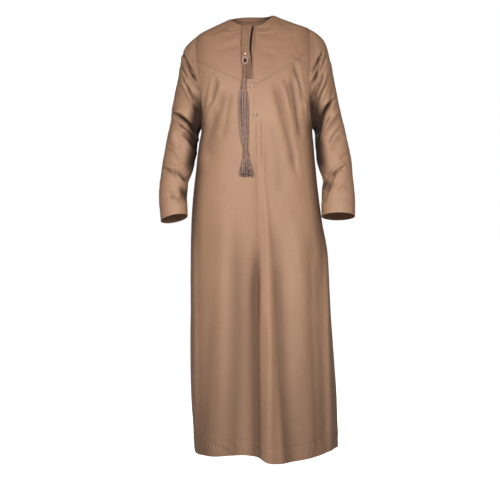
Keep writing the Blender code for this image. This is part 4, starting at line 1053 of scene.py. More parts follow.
def sleeve_form(side, around, section):
    """A point of a sleeve before its creases, at section 0 on the armhole."""
    around, section = np.broadcast_arrays(np.asarray(around, float), np.asarray(section, float))
    ahead_half = np.sin(np.radians(around)) >= 0
    from_top = np.abs((around + 180) % 360 - 180)
    place = np.where(ahead_half[..., None], armhole(side, from_top), armhole(side, from_top, True))
    start = body_surface(place[..., 0], place[..., 1]) + np.array([side * SEAM_GAP, 0, 0])
    level, forward = np.cos(np.radians(around)), np.sin(np.radians(around))
    sections = [start]
    for row in SLEEVES[side]:
        x = (row.outer_x + row.inner_x) / 2 + (row.outer_x - row.inner_x) / 2 * level
        z = (row.outer_z + row.inner_z) / 2 + (row.outer_z - row.inner_z) / 2 * level + row.tip * forward
        y = row.middle_y - row.half_depth * forward * (1 + SLEEVE_SQUARENESS * level**2)
        sections.append(np.stack([x, y, z], axis=-1))
    stacked = np.stack(sections)
    slopes = np.gradient(stacked, axis=0)
    first = np.clip(np.floor(section).astype(int), 0, SECTIONS - 1)
    part = np.clip(section - first, 0, 1)[..., None]
    pick = (first,) + tuple(np.indices(first.shape))
    after = (first + 1,) + tuple(np.indices(first.shape))
    return bend(part, stacked[pick], stacked[after], slopes[pick], slopes[after])


def sleeve_facing(side, surface, steps, around, section):
    """The outward direction of a sleeve, from its form or its outer face."""
    return side * facing(lambda a, s: surface(side, a, s), around, section, steps)


def sleeve_surface(side, around, section):
    """A point of a sleeve's outer face, with its creases and the groove of the cuff's stitches."""
    section = np.clip(section, 0, SECTIONS)

    point = sleeve_form(side, around, section)
    frontness = ease(0.5 + 1.2 * np.sin(np.radians(around)))
    lift = SLEEVE_FOLD_DEPTH * fold_lift(SLEEVE_FOLDS[side], point, frontness)
    lift = lift + crease_lift(SLEEVE_CREASES[side], point) * frontness**2
    for height, length, seed in SLEEVE_SWELLS:
        lift = lift + height * crumple(point, length, seed + side)
    growth = SLEEVE_HEAD_DEPTH + (1 - SLEEVE_HEAD_DEPTH) * section / SLEEVE_FOLDS_START
    lift = lift * ease(growth) * ease(section / SLEEVE_HEAD_RUN)
    lift = lift * (1 - CUFF_CALM * ease((section - CUFF_SECTION) / 0.6))
    lift = lift - CUFF_GROOVE * bell(section - CUFF_STITCH_SECTION, CUFF_GROOVE_REACH)
    return point + sleeve_facing(side, sleeve_form, SLEEVE_STEPS, around, section) * lift[..., None]


SLEEVE_FOLD_DIM = Dim(0.5, 0, 9)
SLEEVE_CREASE_DIM = Dim(0.6, 0, 4.5)
PAST_ARMHOLE = Dim(1, 0.1, 0.8)
INNER_START = 0.04
INNER_LATER = Dim(0.24, 5, 2.5)
BESIDE_BODY = Dim(0.97, 0, 0.56)
ABOVE_CUFF = Dim(1, -10.1, 1.6)
# A patch of painted shade above the cuff, on the sleeve's inner side.
DENT = Dim(0.75, 0.35, 0.35)
DENT_SECTION = {-1: 10.9, 1: 10.6}
DENT_REACH = 0.38
HEAD_DIM = Dim(0.27, -3.6, 3.4)
OUTER_SIDE = Dim(1, -0.3, 0.5)
DARKEST = 0.97


def sleeve_shade(side, around, section):
    """Painted shade at a point, as little light comes there: in creases, against the body, above the cuff,
    at the head.
    """
    point = sleeve_form(side, around, section)
    inward = -np.cos(np.radians(around))
    frontness = ease(0.5 + 1.2 * np.sin(np.radians(around)))
    deep = fold_lift(SLEEVE_FOLDS[side], point, frontness)
    sharp = crease_lift(SLEEVE_CREASES[side], point) * frontness
    creased = (dim(-deep, SLEEVE_FOLD_DIM) + dim(-sharp, SLEEVE_CREASE_DIM)) * dim(section, PAST_ARMHOLE)
    inner_edge = INNER_START + dim(section, INNER_LATER)
    beside_body = dim(inward - inner_edge, BESIDE_BODY) * dim(-section, ABOVE_CUFF)
    dent = dim(inward, DENT) * bell(section - DENT_SECTION[side], DENT_REACH)
    head = dim(-section, HEAD_DIM) * dim(-inward, OUTER_SIDE)
    return np.clip(together(creased, beside_body, dent, head), 0, DARKEST)


SLEEVE_ROUND_CELLS = 168
SLEEVE_STOPS = (0, 0.04, CUFF_SECTION, SECTIONS)
SLEEVE_CELLS = (2, 168, 26)
CUFF_ROWS = 24
ARMHOLE_EDGE_DEPTH = 0.55
ARMHOLE_EDGE_WIDTH = 2.2
ARMHOLE_GROWTHS = (1.045, 1.02, 1.0)
ARMHOLE_SECTIONS = (0.05, 0.1)


def armhole_seam(side, around):
    """The allowances inside an armhole's seam, under the body and under the sleeve."""
    behind = np.sin(np.radians(around)) < 0
    from_top = np.abs(around)
    place = np.where(behind[:, None], armhole(side, from_top, True), armhole(side, from_top))
    middle = np.array([side * 90.0, (ARMHOLE_TOP[side] + ARMHOLE_BOTTOM) / 2])
    rows, outs = [], []
    for growth in ARMHOLE_GROWTHS:
        wide = middle + (place - middle) * growth
        rows.append(body_surface(wide[:, 0], wide[:, 1]))
        outs.append(body_facing(wide[:, 0], wide[:, 1]))
    for section in ARMHOLE_SECTIONS:
        rows.append(sleeve_surface(side, around, section))
        outs.append(sleeve_facing(side, sleeve_surface, SLEEVE_FACE_STEPS, around, section))
    return seam_shell(np.stack(rows), unit(np.stack(outs)))


def make_sleeve(name, side):
    round_arm = np.linspace(-180, 180, SLEEVE_ROUND_CELLS + 1)
    around, section = np.meshgrid(round_arm, spread(SLEEVE_STOPS, SLEEVE_CELLS))
    flat = sleeve_surface(side, around, section)
    flat[:, -1] = flat[:, 0]
    out = side * grid_facing(flat)
    out[:, 0] = out[:, -1] = unit(out[:, 0] + out[:, -1])
    out[0, :, 0] = 0.0
    out = unit(out)
    lengths = along_cloth(flat)
    lay = (lengths["left"], lengths["bottom"])
    closeness = bell(lengths["bottom"], ARMHOLE_EDGE_WIDTH)
    outer = flat - out * (closeness * ARMHOLE_EDGE_DEPTH)[..., None]
    shade = EDGE_SHADE * closeness + sleeve_shade(side, around, section)
    shells = [cloth_shell(outer, outer - out * THIN, lay, shade, ring=True)]
    shells.append(turned_up(outer, out, lay, shade, slice(-CUFF_ROWS, None), ring=True))
    shells.append(armhole_seam(side, round_arm[::2]))
    return make_piece(name, shells, ROBE_CLOTH)


for sleeve_name, side in (("sleeve_left", -1), ("sleeve_right", 1)):
    sleeve = make_sleeve(sleeve_name + "_cloth", side)
    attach(sleeve, "root")
    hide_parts(sleeve_name)


# The neckband: a narrow band of the twill, folded double and sewn round the collarless neck from
# one edge of the placket to the other. Its free edge is soft and leans in towards the neck.
TRIM_CLOTH = twill("trim_cloth", (0.224, 0.117, 0.066), (0.266, 0.145, 0.085), roughness=0.6)
BAND_LEAN_SIDE = 12.0
BAND_LEAN_FRONT = 5.0
BAND_LEAN_BACK = 6.0
BAND_SIDE_Z = {-1: -3.5, 1: 8.0}
BAND_FRONT_Z = -35.0
BAND_BACK_Z = 11.0
BAND_DIP = 1.2
BAND_ROUND = 0.6
BAND_THICK = 1.5
BAND_TURN = 0.82
BAND_ROWS = 14
BAND_STITCH_PART = 0.22
BAND_PULL = 0.3
BAND_PULL_REACH = 0.1
BAND_SWELLS = ((0.45, 15, 21), (0.2, 6, 22))
BAND_ROUNDED_LEAST = 0.03
BAND_EDGE_WIDTH = 1.2


def band_top(base):
    """The free edge of the neckband, drawn in and up from the neckline's points."""
    around = np.arctan2(base[:, 0], -base[:, 1])
    across, ahead = np.sin(around), np.cos(around)
    x = base[:, 0] - BAND_LEAN_SIDE * across**3
    y = base[:, 1] + np.where(ahead > 0, BAND_LEAN_FRONT, BAND_LEAN_BACK) * ahead
    leaning = (1 + across) / 2
    side_z = BAND_SIDE_Z[-1] * (1 - leaning) + BAND_SIDE_Z[1] * leaning
    end_z = np.where(ahead > 0, BAND_FRONT_Z, BAND_BACK_Z)
    return np.stack([x, y, side_z + (end_z - side_z) * np.abs(ahead) ** BAND_DIP], axis=-1)


def band_frame():
    """The neckline's points, the way up the band from them, and the ways out of yoke and band."""
    front = front_neck_stops(FRONT_CELLS)
    behind = np.linspace(90, 270, BACK_CELLS + 1)
    around = np.concatenate([front[sum(FRONT_CELLS[:4]):], behind[1:], front[1:FRONT_CELLS[0] + 1]])
    places = neckline(around)
    base = body_surface(places[:, 0], places[:, 1])
    base_out = body_facing(places[:, 0], places[:, 1])
    rise = band_top(base) - base
    along = unit(np.gradient(base, axis=0))
    level = unit(np.cross(along, base_out))
    level = level * np.sign(np.sum(level * rise, axis=-1, keepdims=True))
    return base, rise, level, base_out, unit(np.cross(along, rise))


def band_face(up):
    """The band's outer face so far up it, and the way that it faces, with the pull of its stitches."""
    base, rise, level, base_out, out = band_frame()
    up = np.reshape(up, (-1, 1, 1))
    face = base + rise * up + level * SEAM_GAP * (1 - up) + out * np.sin(np.pi * up) * BAND_ROUND
    way = unit(base_out * (1 - up) + out * up)
    pucker = sum(height * crumple(face, length, seed) for height, length, seed in BAND_SWELLS)
    pull = BAND_PULL * bell(up[..., 0] - BAND_STITCH_PART, BAND_PULL_REACH)
    return face + way * (pucker * (1 - 0.6 * up[..., 0]) - pull)[..., None], way


def make_neckband():
    up = np.linspace(0, 1, BAND_ROWS + 1)
    face, way = band_face(up)
    turn = np.clip((up - BAND_TURN) / (1 - BAND_TURN), 0, 1)[:, None, None]
    rounded = np.sqrt(np.clip(1 - turn**2, BAND_ROUNDED_LEAST, 1))
    outer = face - way * BAND_THICK / 2 * (1 - rounded)
    inner = face - way * BAND_THICK / 2 * (1 + rounded)
    lengths = along_cloth(face)
    shade = EDGE_SHADE * bell(lengths["bottom"], BAND_EDGE_WIDTH)
    shells = [cloth_shell(outer, inner, (lengths["left"], lengths["bottom"]), shade)]
    base, rise, level, base_out, out = band_frame()
    allowance = np.stack([base - level * 4, base - level * 2, base, base + rise * 0.3, base + rise * 0.6])
    ways = unit(np.stack([base_out, base_out, base_out + out, out, out]))
    shells.append(seam_shell(allowance, ways))
    return make_piece("neck_band", shells, TRIM_CLOTH)


band = make_neckband()
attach(band, "root")
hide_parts("neckband")


# The placket: two strips of the twill, stitched down both sides of the slit. The outer strip laps
# the under strip from the left and gapes a little, and painted shade darkens the under strip in
# the slit, so that the slit shows as a dark line.
PlacketRow = namedtuple("PlacketRow", "z outer_left outer_right under_left under_right gape")
PLACKET = table(
    PlacketRow,
    (-218, -29, 1, -8, 6, 0.0), (-190, -31, 0, -9, 6, 0.3), (-150, -32, -2, -11, 6.5, 0.8),
    (-126, -32, -6.2, -12, 7.5, 2.0), (-80, -32, -4.6, -10, 9.5, 3.0), (-36, -31, 1.6, -6, 11, 2.0),
)
PLACKET_BOTTOM_Z = -216.0
PLACKET_TOP_Z = -36.5
STRIP_CELLS = (150, 30)
STRIP_CLOTH = 1.0
STRIP_THIN = 0.7
STRIP_REST = 0.65
STRIP_TURN_UP = 2.0
STRIP_STITCH = 1.9
FlatPlace = namedtuple("FlatPlace", "x z")
RING_PLACE = FlatPlace(-20.5, -157)
RING_HALF_WIDTH = 8.1
RING_HALF_HEIGHT = 10.6
StripFold = namedtuple("StripFold", "x width height")
STRIP_FOLDS = table(StripFold, (-8.5, 3.2, 0.9), (-13.2, 1.5, -0.75))
STRIP_FOLDS_START = Dim(1, -128, 40)
STRIP_SWELLS = ((0.22, 14, 31), (0.12, 6, 32))
STRIP_EDGE_WIDTH = 1.0
STRIP_EDGE_DEPTH = 0.3
STRIP_PULL = 0.28
STRIP_PULL_REACH = 0.7
IN_THE_SLIT = Dim(0.97, 0, 1.8)
IN_THE_RING = Dim(0.8, -1.3, 0.5)
LEFT_EDGE_DIM = 0.5
LEFT_EDGE_REACH = 1.6
BESIDE_BRAID = Dim(0.36, 0, 6)
BELOW_RING = Dim(1, -14, 10)


def under_strip_lift(x, z):
    """The under strip lies on the yoke and sinks into the slit."""
    across = (x - read(SLIT, "x", z)) / read(SLIT, "half_width", z)
    return STRIP_REST - read(SLIT, "depth", z) * np.exp(-np.abs(across) ** 3)


def outer_strip_lift(x, z):
    """The outer strip rises onto the under strip, gapes at its free edge and has a soft fold down it."""
    left, right = read(PLACKET, "outer_left", z), read(PLACKET, "outer_right", z)
    onto = ease((x - left) / (read(PLACKET, "under_left", z) - STRIP_TURN_UP - left))
    gape = read(PLACKET, "gape", z) * np.clip((x - left) / (right - left), 0, 1) ** 2
    rise = sum(fold.height * bell(x - fold.x, fold.width) for fold in STRIP_FOLDS)
    return STRIP_REST + (SEAM_GAP + STRIP_CLOTH) * onto + gape + dim(z, STRIP_FOLDS_START) * rise


def strip_face(x, z, lift):
    """The outer face of a strip at places of a front view, and the way out of the cloth below."""
    turn = turn_at(x, z)
    out = body_facing(turn, z)
    point = body_surface(turn, z) + out * (lift(x, z) + STRIP_CLOTH)[..., None]
    uneven = sum(height * crumple(point, length, seed) for height, length, seed in STRIP_SWELLS)
    return point + out * uneven[..., None], out


def strip_shade(under, x, z, lift, from_left):
    """Painted shade: the under strip's in the slit, the outer one's in the ring, at its left and by the
    braid.
    """
    if under:
        return dim(STRIP_REST - lift(x, z), IN_THE_SLIT)
    in_ring = np.hypot((x - RING_PLACE.x) / RING_HALF_WIDTH, (z - RING_PLACE.z) / RING_HALF_HEIGHT)
    beside_braid = dim(x - RING_PLACE.x, BESIDE_BRAID) * dim(RING_PLACE.z - z, BELOW_RING)
    left_edge = LEFT_EDGE_DIM * bell(from_left, LEFT_EDGE_REACH)
    return np.maximum(np.maximum(dim(-in_ring, IN_THE_RING), left_edge), beside_braid)


def make_strip(name, left, right, lift):
    z = np.linspace(PLACKET_BOTTOM_Z, PLACKET_TOP_Z, STRIP_CELLS[0] + 1)[:, None]
    part = np.linspace(0, 1, STRIP_CELLS[1] + 1)[None, :]
    x = read(PLACKET, left, z) * (1 - part) + read(PLACKET, right, z) * part
    face, out = strip_face(x, np.broadcast_to(z, x.shape), lift)
    lengths = along_cloth(face)
    closeness = np.zeros(x.shape)
    pull = np.zeros(x.shape)
    for edge in ("left", "right", "bottom"):
        closeness = np.maximum(closeness, bell(lengths[edge], STRIP_EDGE_WIDTH))
        pull = pull + bell(lengths[edge] - STRIP_STITCH, STRIP_PULL_REACH)
    outer = face - out * (STRIP_EDGE_DEPTH * closeness + STRIP_PULL * pull)[..., None]
    # Painted shade in the slit, inside the ring, along the left edge and beside the braid.
    strip_painted_shade = strip_shade(left == "under_left", x, z, lift, lengths["left"])
    shade = np.clip(EDGE_SHADE * closeness + strip_painted_shade, 0, DARKEST)
    shell = cloth_shell(outer, outer - out * STRIP_THIN, (lengths["left"], lengths["bottom"]), shade)
    return make_piece(name, [shell], TRIM_CLOTH)


Strip = namedtuple("Strip", "node left right lift")
STRIPS = table(
    Strip,
    ("placket_under", "under_left", "under_right", under_strip_lift),
    ("placket_outer", "outer_left", "outer_right", outer_strip_lift),
)
for strip_name, left, right, lift in STRIPS:
    strip = make_strip(strip_name + "_strip", left, right, lift)
    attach(strip, "root")
    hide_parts(strip_name)


# The fastenings: two small covered buttons below the placket, and a pearly bead that closes it.
# Each is sewn on through the cloth.
BUTTON_PLACES = {"button_upper": FlatPlace(3, -243), "button_lower": FlatPlace(12, -332)}
ButtonPoint = namedtuple("ButtonPoint", "radius height")
BUTTON_OUTLINE = table(
    ButtonPoint,
    (4.6, 0.05), (5.4, 0.15), (5.9, 0.6), (6.0, 1.1), (5.8, 1.6), (5.4, 1.85), (4.9, 1.8), (4.5, 1.65),
    (4.1, 1.8), (3.4, 2.3), (2.4, 2.7), (1.2, 2.92), (0.3, 2.97),
)
BUTTON_SIDES = 48
BUTTON_SIDEWAYS = Dim(1, 0.55, 0.3)
BUTTON_RIM = Dim(1, 3.0, 1.2)
BEAD_PLACE = FlatPlace(-19.5, -136)
BEAD_RADIUS = 4.3
BALL_RINGS = 28
BALL_SIDES = 36
BALL_END = 0.06


def whole_turn(steps):
    return np.linspace(0, 2 * math.pi, steps, endpoint=False)


def stand_on(place, lift):
    """A point over the cloth at a place of the front view, with across, up and out directions."""
    turn = turn_at(place.x, place.z)
    point, out = body_surface(turn, place.z), body_facing(turn, place.z)
    across = unit(np.cross((0.0, 0.0, 1.0), out))
    across = across * np.sign(across[..., :1])
    return point + out * np.asarray(lift)[..., None], across, unit(np.cross(out, across)), out


def ringed(rings, hoop=False, shade=None):
    """A closed body of rings of points one after the other, with flat ends or joined as a hoop."""
    count, sides = rings.shape[:2]
    ring, side = np.meshgrid(np.arange(count if hoop else count - 1), np.arange(sides), indexing="ij")
    after, above = (side + 1) % sides, (ring + 1) % count
    ring_start, above_start = ring * sides, above * sides
    faces = np.stack([ring_start + side, ring_start + after, above_start + after, above_start + side], -1)
    centres = rings.mean(axis=1)
    steps = np.linalg.norm(np.diff(centres, axis=0, append=centres[:1]), axis=1)
    far = np.concatenate([[0.0], np.cumsum(steps)])
    girth = np.linalg.norm(rings - centres[:, None], axis=-1).mean() * 2 * math.pi / sides
    u = np.stack([side, side + 1, side + 1, side], axis=-1) * girth
    v = np.stack([far[ring], far[ring], far[ring + 1], far[ring + 1]], axis=-1)
    faces, uv = faces.reshape(-1, 4), np.stack([u, v], axis=-1).reshape(-1, 4, 2)
    if not hoop:
        near = np.arange(sides // 2 - 1)
        lid = np.stack([near, near + 1, sides - 2 - near, sides - 1 - near], axis=-1)
        for cap in (lid[:, ::-1], lid + (count - 1) * sides):
            faces = np.concatenate([faces, cap])
            uv = np.concatenate([uv, np.stack([cap % sides * girth, 0.0 * cap], axis=-1)])
    points = rings.reshape(-1, 3)
    if not faces_outward(points, faces):
        faces, uv = faces[:, ::-1], uv[:, ::-1]
    return Shell(points, faces, uv, np.zeros(len(points)) if shade is None else shade.ravel())


def turned(place, lift, outline, sides, shade=None):
    """A round body turned about the way out of the cloth, from its foot to its crown."""
    origin, across, up, out = stand_on(place, lift)
    angle = whole_turn(sides)[None, :, None]
    radius, height = (np.array(part)[:, None, None] for part in zip(*outline))
    level = across * np.cos(angle) + up * np.sin(angle)
    return ringed(origin + level * radius + out * height, shade=shade)


def ball_outline(radius):
    """Radius and height up the half outline of a ball."""
    steepest = math.pi / 2 - BALL_END
    angles = np.linspace(-steepest, steepest, BALL_RINGS)
    return [(radius * math.cos(a), radius * math.sin(a)) for a in angles]


def plain_twill(name, colour, dark):
    """The twill of a covered button: its weave as fine relief, and a dark tone where the mesh marks it."""
    material, tree, shader = new_surface(name, Roughness=0.42, Sheen_Weight=0.25)
    place = place_in_object(tree)
    tone = mixed(tree, noise(tree, place, 900.0), colour, [value * 1.3 for value in colour])
    darken_where_marked_and_bump(tree, shader, tone, dark, wave(tree, place, "DIAGONAL", 420.0), 0.3, 0.0002)
    return material


BUTTON_CLOTH = plain_twill("button_cloth", (0.36, 0.225, 0.15), (0.06, 0.032, 0.02))


def make_button(name, place):
    angle = whole_turn(BUTTON_SIDES)[None, :]
    radius = np.array(column(BUTTON_OUTLINE, "radius"))[:, None]
    # The rim is made dark at its left and right sides.
    sewn = dim(np.abs(np.cos(angle)), BUTTON_SIDEWAYS) * dim(radius, BUTTON_RIM)
    shell = turned(place, SEAM_GAP, BUTTON_OUTLINE, BUTTON_SIDES, sewn)
    return make_piece(name, [shell], BUTTON_CLOTH, sharp=70)


for button_name, place in BUTTON_PLACES.items():
    button = make_button(button_name + "_cover", place)
    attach(button, "root")
    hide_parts(button_name)


def pearl(name):
    """A pale warm bead with a clear gloss and faint clouds under it."""
    material, tree, shader = new_surface(name, Roughness=0.16, Coat_Weight=0.6, Coat_Roughness=0.08)
    cloud = noise(tree, place_in_object(tree), 420.0, 3.0)
    tone = mixed(tree, cloud, (0.50, 0.37, 0.26), (0.68, 0.56, 0.43))
    tree.links.new(tone, shader.inputs["Base Color"])
    return material


def strip_top(place):
    """The height of the outer strip's face over the yoke."""
    return float(outer_strip_lift(np.array(place.x), np.array(place.z))) + STRIP_CLOTH


bead_shell = turned(BEAD_PLACE, strip_top(BEAD_PLACE) + BEAD_RADIUS, ball_outline(BEAD_RADIUS), BALL_SIDES)
bead = make_piece("pearly_bead", [bead_shell], pearl("pearl"))
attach(bead, "root")
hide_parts("stud_bead")


# The tassel: mauve brown silk. A corded ring hangs from the bead, a plait runs down from it to a
# wound knot, loose strands fall to a twisted neck with a second knot, and a fringe flares below.
TASSEL_LINE = table(
    FlatPlace,
    (-21, -150), (-22, -200), (-26, -250), (-25, -320), (-21, -420), (-18, -470), (-17, -530),
)
RING_WIRE = 2.2
RING_HANG = 0.4
TasselRow = namedtuple("TasselRow", "z half_width half_depth clear")
PLAIT = table(
    TasselRow,
    (-168.5, 3.2, 2.2, 3.0), (-185, 4.6, 2.8, 2.6), (-205, 5.6, 3.2, 2.4), (-218, 6.6, 3.8, 2.0),
    (-230, 7.4, 4.4, 1.6), (-238.4, 7.2, 4.6, 1.2),
)
TOP_KNOT = table(
    TasselRow,
    (-238.4, 6.4, 4.6, 1.2), (-241, 8.4, 5.6, 0.8), (-247, 8.8, 5.8, 0.8), (-252, 8.0, 5.0, 1.0),
    (-257, 9.4, 4.6, 1.2),
)
STRANDS = table(
    TasselRow,
    (-254, 9.6, 4.4, 1.2), (-266, 12.4, 4.8, 1.0), (-290, 14.6, 4.8, 1.0), (-320, 14.8, 4.8, 1.0),
    (-380, 12.6, 4.6, 1.0), (-428, 8.6, 4.6, 1.0),
)
NECK = table(TasselRow, (-424, 8.4, 5.0, 1.0), (-440, 7.6, 5.0, 0.9), (-455, 7.4, 4.8, 1.0))
LOWER_KNOT = table(
    TasselRow,
    (-451, 7.6, 5.0, 1.0), (-454, 9.2, 5.8, 0.8), (-463, 9.8, 6.0, 0.8), (-468, 9.2, 5.6, 0.9),
    (-472, 8.8, 5.0, 1.2), (-476, 10.2, 4.8, 1.2),
)
FRINGE = table(
    TasselRow,
    (-472, 9.4, 4.8, 1.2), (-488, 14.5, 5.2, 1.2), (-508, 19.5, 5.4, 1.2), (-532, 23.5, 5.6, 1.2),
)
WINDING = 1.5
RIB = 0.42
RIB_SINK = 0.25
WOUND_SIDES = 40
RING_STEPS = 120
RING_SIDES = 18
# Painted shade: where the mesh's shade mark is high, the silk's colour turns towards these fractions of
# itself.
PAINTED_SHADE_SILK = (0.2, 0.16, 0.14)


def silk(name, colour, lighter, gloss=0.36):
    """Silk thread: long fine filaments that run the way of the thread, a soft shine and painted shade where
    marked.
    """
    material, tree, shader = new_surface(name, Roughness=gloss, Sheen_Weight=0.12,
                                         Sheen_Roughness=0.35, Sheen_Tint=(1.0, 0.88, 0.84, 1.0))
    filament = noise(tree, lay_of_cloth(tree), (3200.0, 60.0, 1.0))
    threads = sums(tree, "ADD", filament, noise(tree, place_in_object(tree), 90.0))
    tone = mixed(tree, sums(tree, "MULTIPLY_ADD", threads, 1.6, -1.1), colour, lighter)
    darken_where_marked_and_bump(tree, shader, tone, times(colour, PAINTED_SHADE_SILK), filament, 0.35, 0.00015)
    return material


SILK = silk("tassel_silk", (0.148, 0.078, 0.054), (0.282, 0.163, 0.117))
PALE_SILK = silk("ring_silk", (0.34, 0.22, 0.18), (0.50, 0.35, 0.295))
KNOT_SILK = silk("loop_silk", (0.20, 0.125, 0.09), (0.36, 0.24, 0.18))


def tassel_spine(rows, high, low, count):
    """The tassel's middle line between two heights, with its directions and its half width and depth."""
    heights = np.linspace(high, low, count)
    ordered = rows[::-1]
    width, depth = (read(ordered, name, heights) for name in ("half_width", "half_depth"))
    line = FlatPlace(read(TASSEL_LINE[::-1], "x", heights), heights)
    centre, across, _, out = stand_on(line, depth + read(ordered, "clear", heights))
    return heights, centre, across, out, width, depth


def thread(centres, radius, sides, twist=0.0, shade=0.0):
    """A round thread along its centres, thinner or thicker as the radius says."""
    count = len(centres)
    run = unit(np.gradient(centres, axis=0))
    side = unit(np.cross(run, np.array([0.0, 1.0, 0.2])))
    other = np.cross(run, side)
    angle = whole_turn(sides)[None, :, None]
    angle = angle + twist * np.arange(count)[:, None, None]
    radius = np.broadcast_to(radius, (count,))[:, None, None]
    rings = centres[:, None] + (side[:, None] * np.cos(angle) + other[:, None] * np.sin(angle)) * radius
    return ringed(rings, shade=np.broadcast_to(np.reshape(shade, (-1, 1)), rings.shape[:2]))


def wound(rows):
    """A stretch wound round with thread, over the tassel's line."""
    high, low = rows[0].z, rows[-1].z
    count = int((high - low) / WINDING * 8) + 1
    heights, centre, across, out, width, depth = tassel_spine(rows, high, low, count)
    angle = whole_turn(WOUND_SIDES)[None, :]
    turns = heights[:, None] / WINDING + angle / (2 * math.pi)
    rib = RIB * np.abs(np.sin(math.pi * turns)) - RIB_SINK
    wide = (width[:, None] + rib) * np.cos(angle)
    deep = (depth[:, None] + rib) * np.sin(angle)
    return ringed(centre[:, None] + across[:, None] * wide[..., None] + out[:, None] * deep[..., None])


Plaiting = namedtuple("Plaiting", "high low steps threads pitch turn_ratio fill")
BRAID = Plaiting(-168.5, -239.5, 90, 3, 16.0, 2, 0.46)
TWISTED_NECK = Plaiting(-423.0, -455.0, 50, 4, 24.0, 1, 0.44)
PLAIT_SIDES = 12
PLAIT_BEHIND_SHADE = 0.75


def plaited(rows, way):
    """Threads that pass over and under each other down the tassel's line."""
    heights, centre, across, out, width, depth = tassel_spine(rows, way.high, way.low, way.steps)
    shells = []
    for number in range(way.threads):
        phase = 2 * math.pi * (heights / way.pitch + number / way.threads)
        radius = way.fill * width
        wide = (width - radius) * np.sin(phase)
        reach = np.clip(depth - 0.8 * radius, 0.4, None)
        deep = reach * (np.sin(way.turn_ratio * phase) if way.turn_ratio > 1 else np.cos(phase))
        # Painted shade on the threads where they pass behind the others.
        behind = PLAIT_BEHIND_SHADE * ease(0.35 - deep / reach)
        centres = centre + across * wide[:, None] + out * deep[:, None]
        shells.append(thread(centres, radius, PLAIT_SIDES, 0.35, behind))
    return shells


def corded_ring():
    """The ring: a cord of three twisted plies, closed on itself."""
    lift = strip_top(RING_PLACE) + SEAM_GAP + RING_WIRE + RING_HANG
    origin, across, up, out = stand_on(RING_PLACE, lift)
    around = whole_turn(RING_STEPS)[:, None, None]
    section = whole_turn(RING_SIDES)[None, :, None]
    right, rise = np.cos(around), np.sin(around)
    centre = origin + across * RING_HALF_WIDTH * right + up * RING_HALF_HEIGHT * rise
    sideways = unit(across * right / RING_HALF_WIDTH + up * rise / RING_HALF_HEIGHT)
    radius = RING_WIRE * (0.84 + 0.2 * np.abs(np.cos(1.5 * section + 9 * around)))
    return ringed(centre + (sideways * np.cos(section) + out * np.sin(section)) * radius, hoop=True)


Falling = namedtuple("Falling", "seed high low radius tip sway")
LOOSE_STRANDS = Falling(41, -253.0, -428.0, 1.5, 1.45, 0.9)
FRINGE_THREADS = Falling(51, -471.0, -533.0, 1.25, 0.75, 0.8)
STRAND_STEPS = 30
STRAND_SIDES = 6
STRAND_BEHIND_SHADE = 0.7


def falling_strands(rows, way, places):
    """Loose strands, each on its own place across the tassel, that sway a little as they fall."""
    chance = np.random.default_rng(way.seed)
    shells = []
    for across_part, depth_part, end in places:
        spine = tassel_spine(rows, way.high, way.low + end, STRAND_STEPS)
        heights, centre, across, out, width, depth = spine
        down = np.linspace(0, 1, len(heights))
        starts = chance.uniform(0, 2 * math.pi, 3)
        swing = way.sway * (np.sin(down * chance.uniform(3, 6) + starts[0]) * ease(down * 3)
                            + 0.5 * np.sin(down * chance.uniform(8, 14) + starts[1]) * ease(down * 3))
        deep_swing = 0.4 * way.sway * np.sin(down * chance.uniform(3, 7) + starts[2])
        size = (way.radius + (way.tip - way.radius) * down) * chance.uniform(0.88, 1.12)
        wide = (width - size) * across_part + swing
        wide = np.clip(wide, -width + 0.4 * size, width - 0.4 * size)
        deep = np.clip((depth - size) * depth_part + deep_swing, size - depth, depth - size)
        # Painted shade on the strands of the back row, which show between the front ones.
        behind = STRAND_BEHIND_SHADE * float(ease((0.1 - depth_part) / 0.7))
        centres = centre + across * wide[:, None] + out * deep[:, None]
        shells.append(thread(centres, size, STRAND_SIDES, 0.3, behind))
    return shells


STRANDS_ACROSS = 11
STRAND_GAP = (-0.75, -0.35)
LOCKS = 9
LOCK_THREADS = 8


def strand_places():
    """Where the strands start: rows across the tassel, apart where it parts into two bundles."""
    chance = np.random.default_rng(40)
    places = []
    for depth_part in (-0.85, 0.0, 0.85):
        for across_part in np.linspace(-1, 1, STRANDS_ACROSS):
            jitter = chance.uniform(-0.04, 0.04)
            if depth_part > -0.5 and STRAND_GAP[0] < across_part < STRAND_GAP[1]:
                across_part = STRAND_GAP[0] if across_part < sum(STRAND_GAP) / 2 else STRAND_GAP[1]
            places.append((across_part + jitter, depth_part + chance.uniform(-0.12, 0.12), 0.0))
    return places


def fringe_places():
    """The fringe's threads gather into locks that end at their own heights."""
    chance = np.random.default_rng(50)
    places = []
    for lock in np.linspace(-0.93, 0.93, LOCKS):
        end = chance.uniform(0.0, 9.0)
        for _ in range(LOCK_THREADS):
            across_part = lock + chance.uniform(-0.1, 0.1)
            depth_part = chance.uniform(-0.95, 0.95)
            places.append((across_part, depth_part, end + chance.uniform(0, 3)))
    return places


TASSEL_PIECES = {
    "tassel_ring": ([corded_ring()], PALE_SILK),
    "tassel_braid": (plaited(PLAIT, BRAID), SILK),
    "tassel_top_knot": ([wound(TOP_KNOT)], SILK),
    "tassel_strands": (falling_strands(STRANDS, LOOSE_STRANDS, strand_places()), SILK),
    "tassel_lower_knot": (plaited(NECK, TWISTED_NECK) + [wound(LOWER_KNOT)], SILK),
    "tassel_fringe": (falling_strands(FRINGE, FRINGE_THREADS, fringe_places()), SILK),
}
for node_name, (shells, material) in TASSEL_PIECES.items():
    piece = make_piece(node_name + "_silk", shells, material, sharp=75)
    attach(piece, "root")
    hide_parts(node_name)

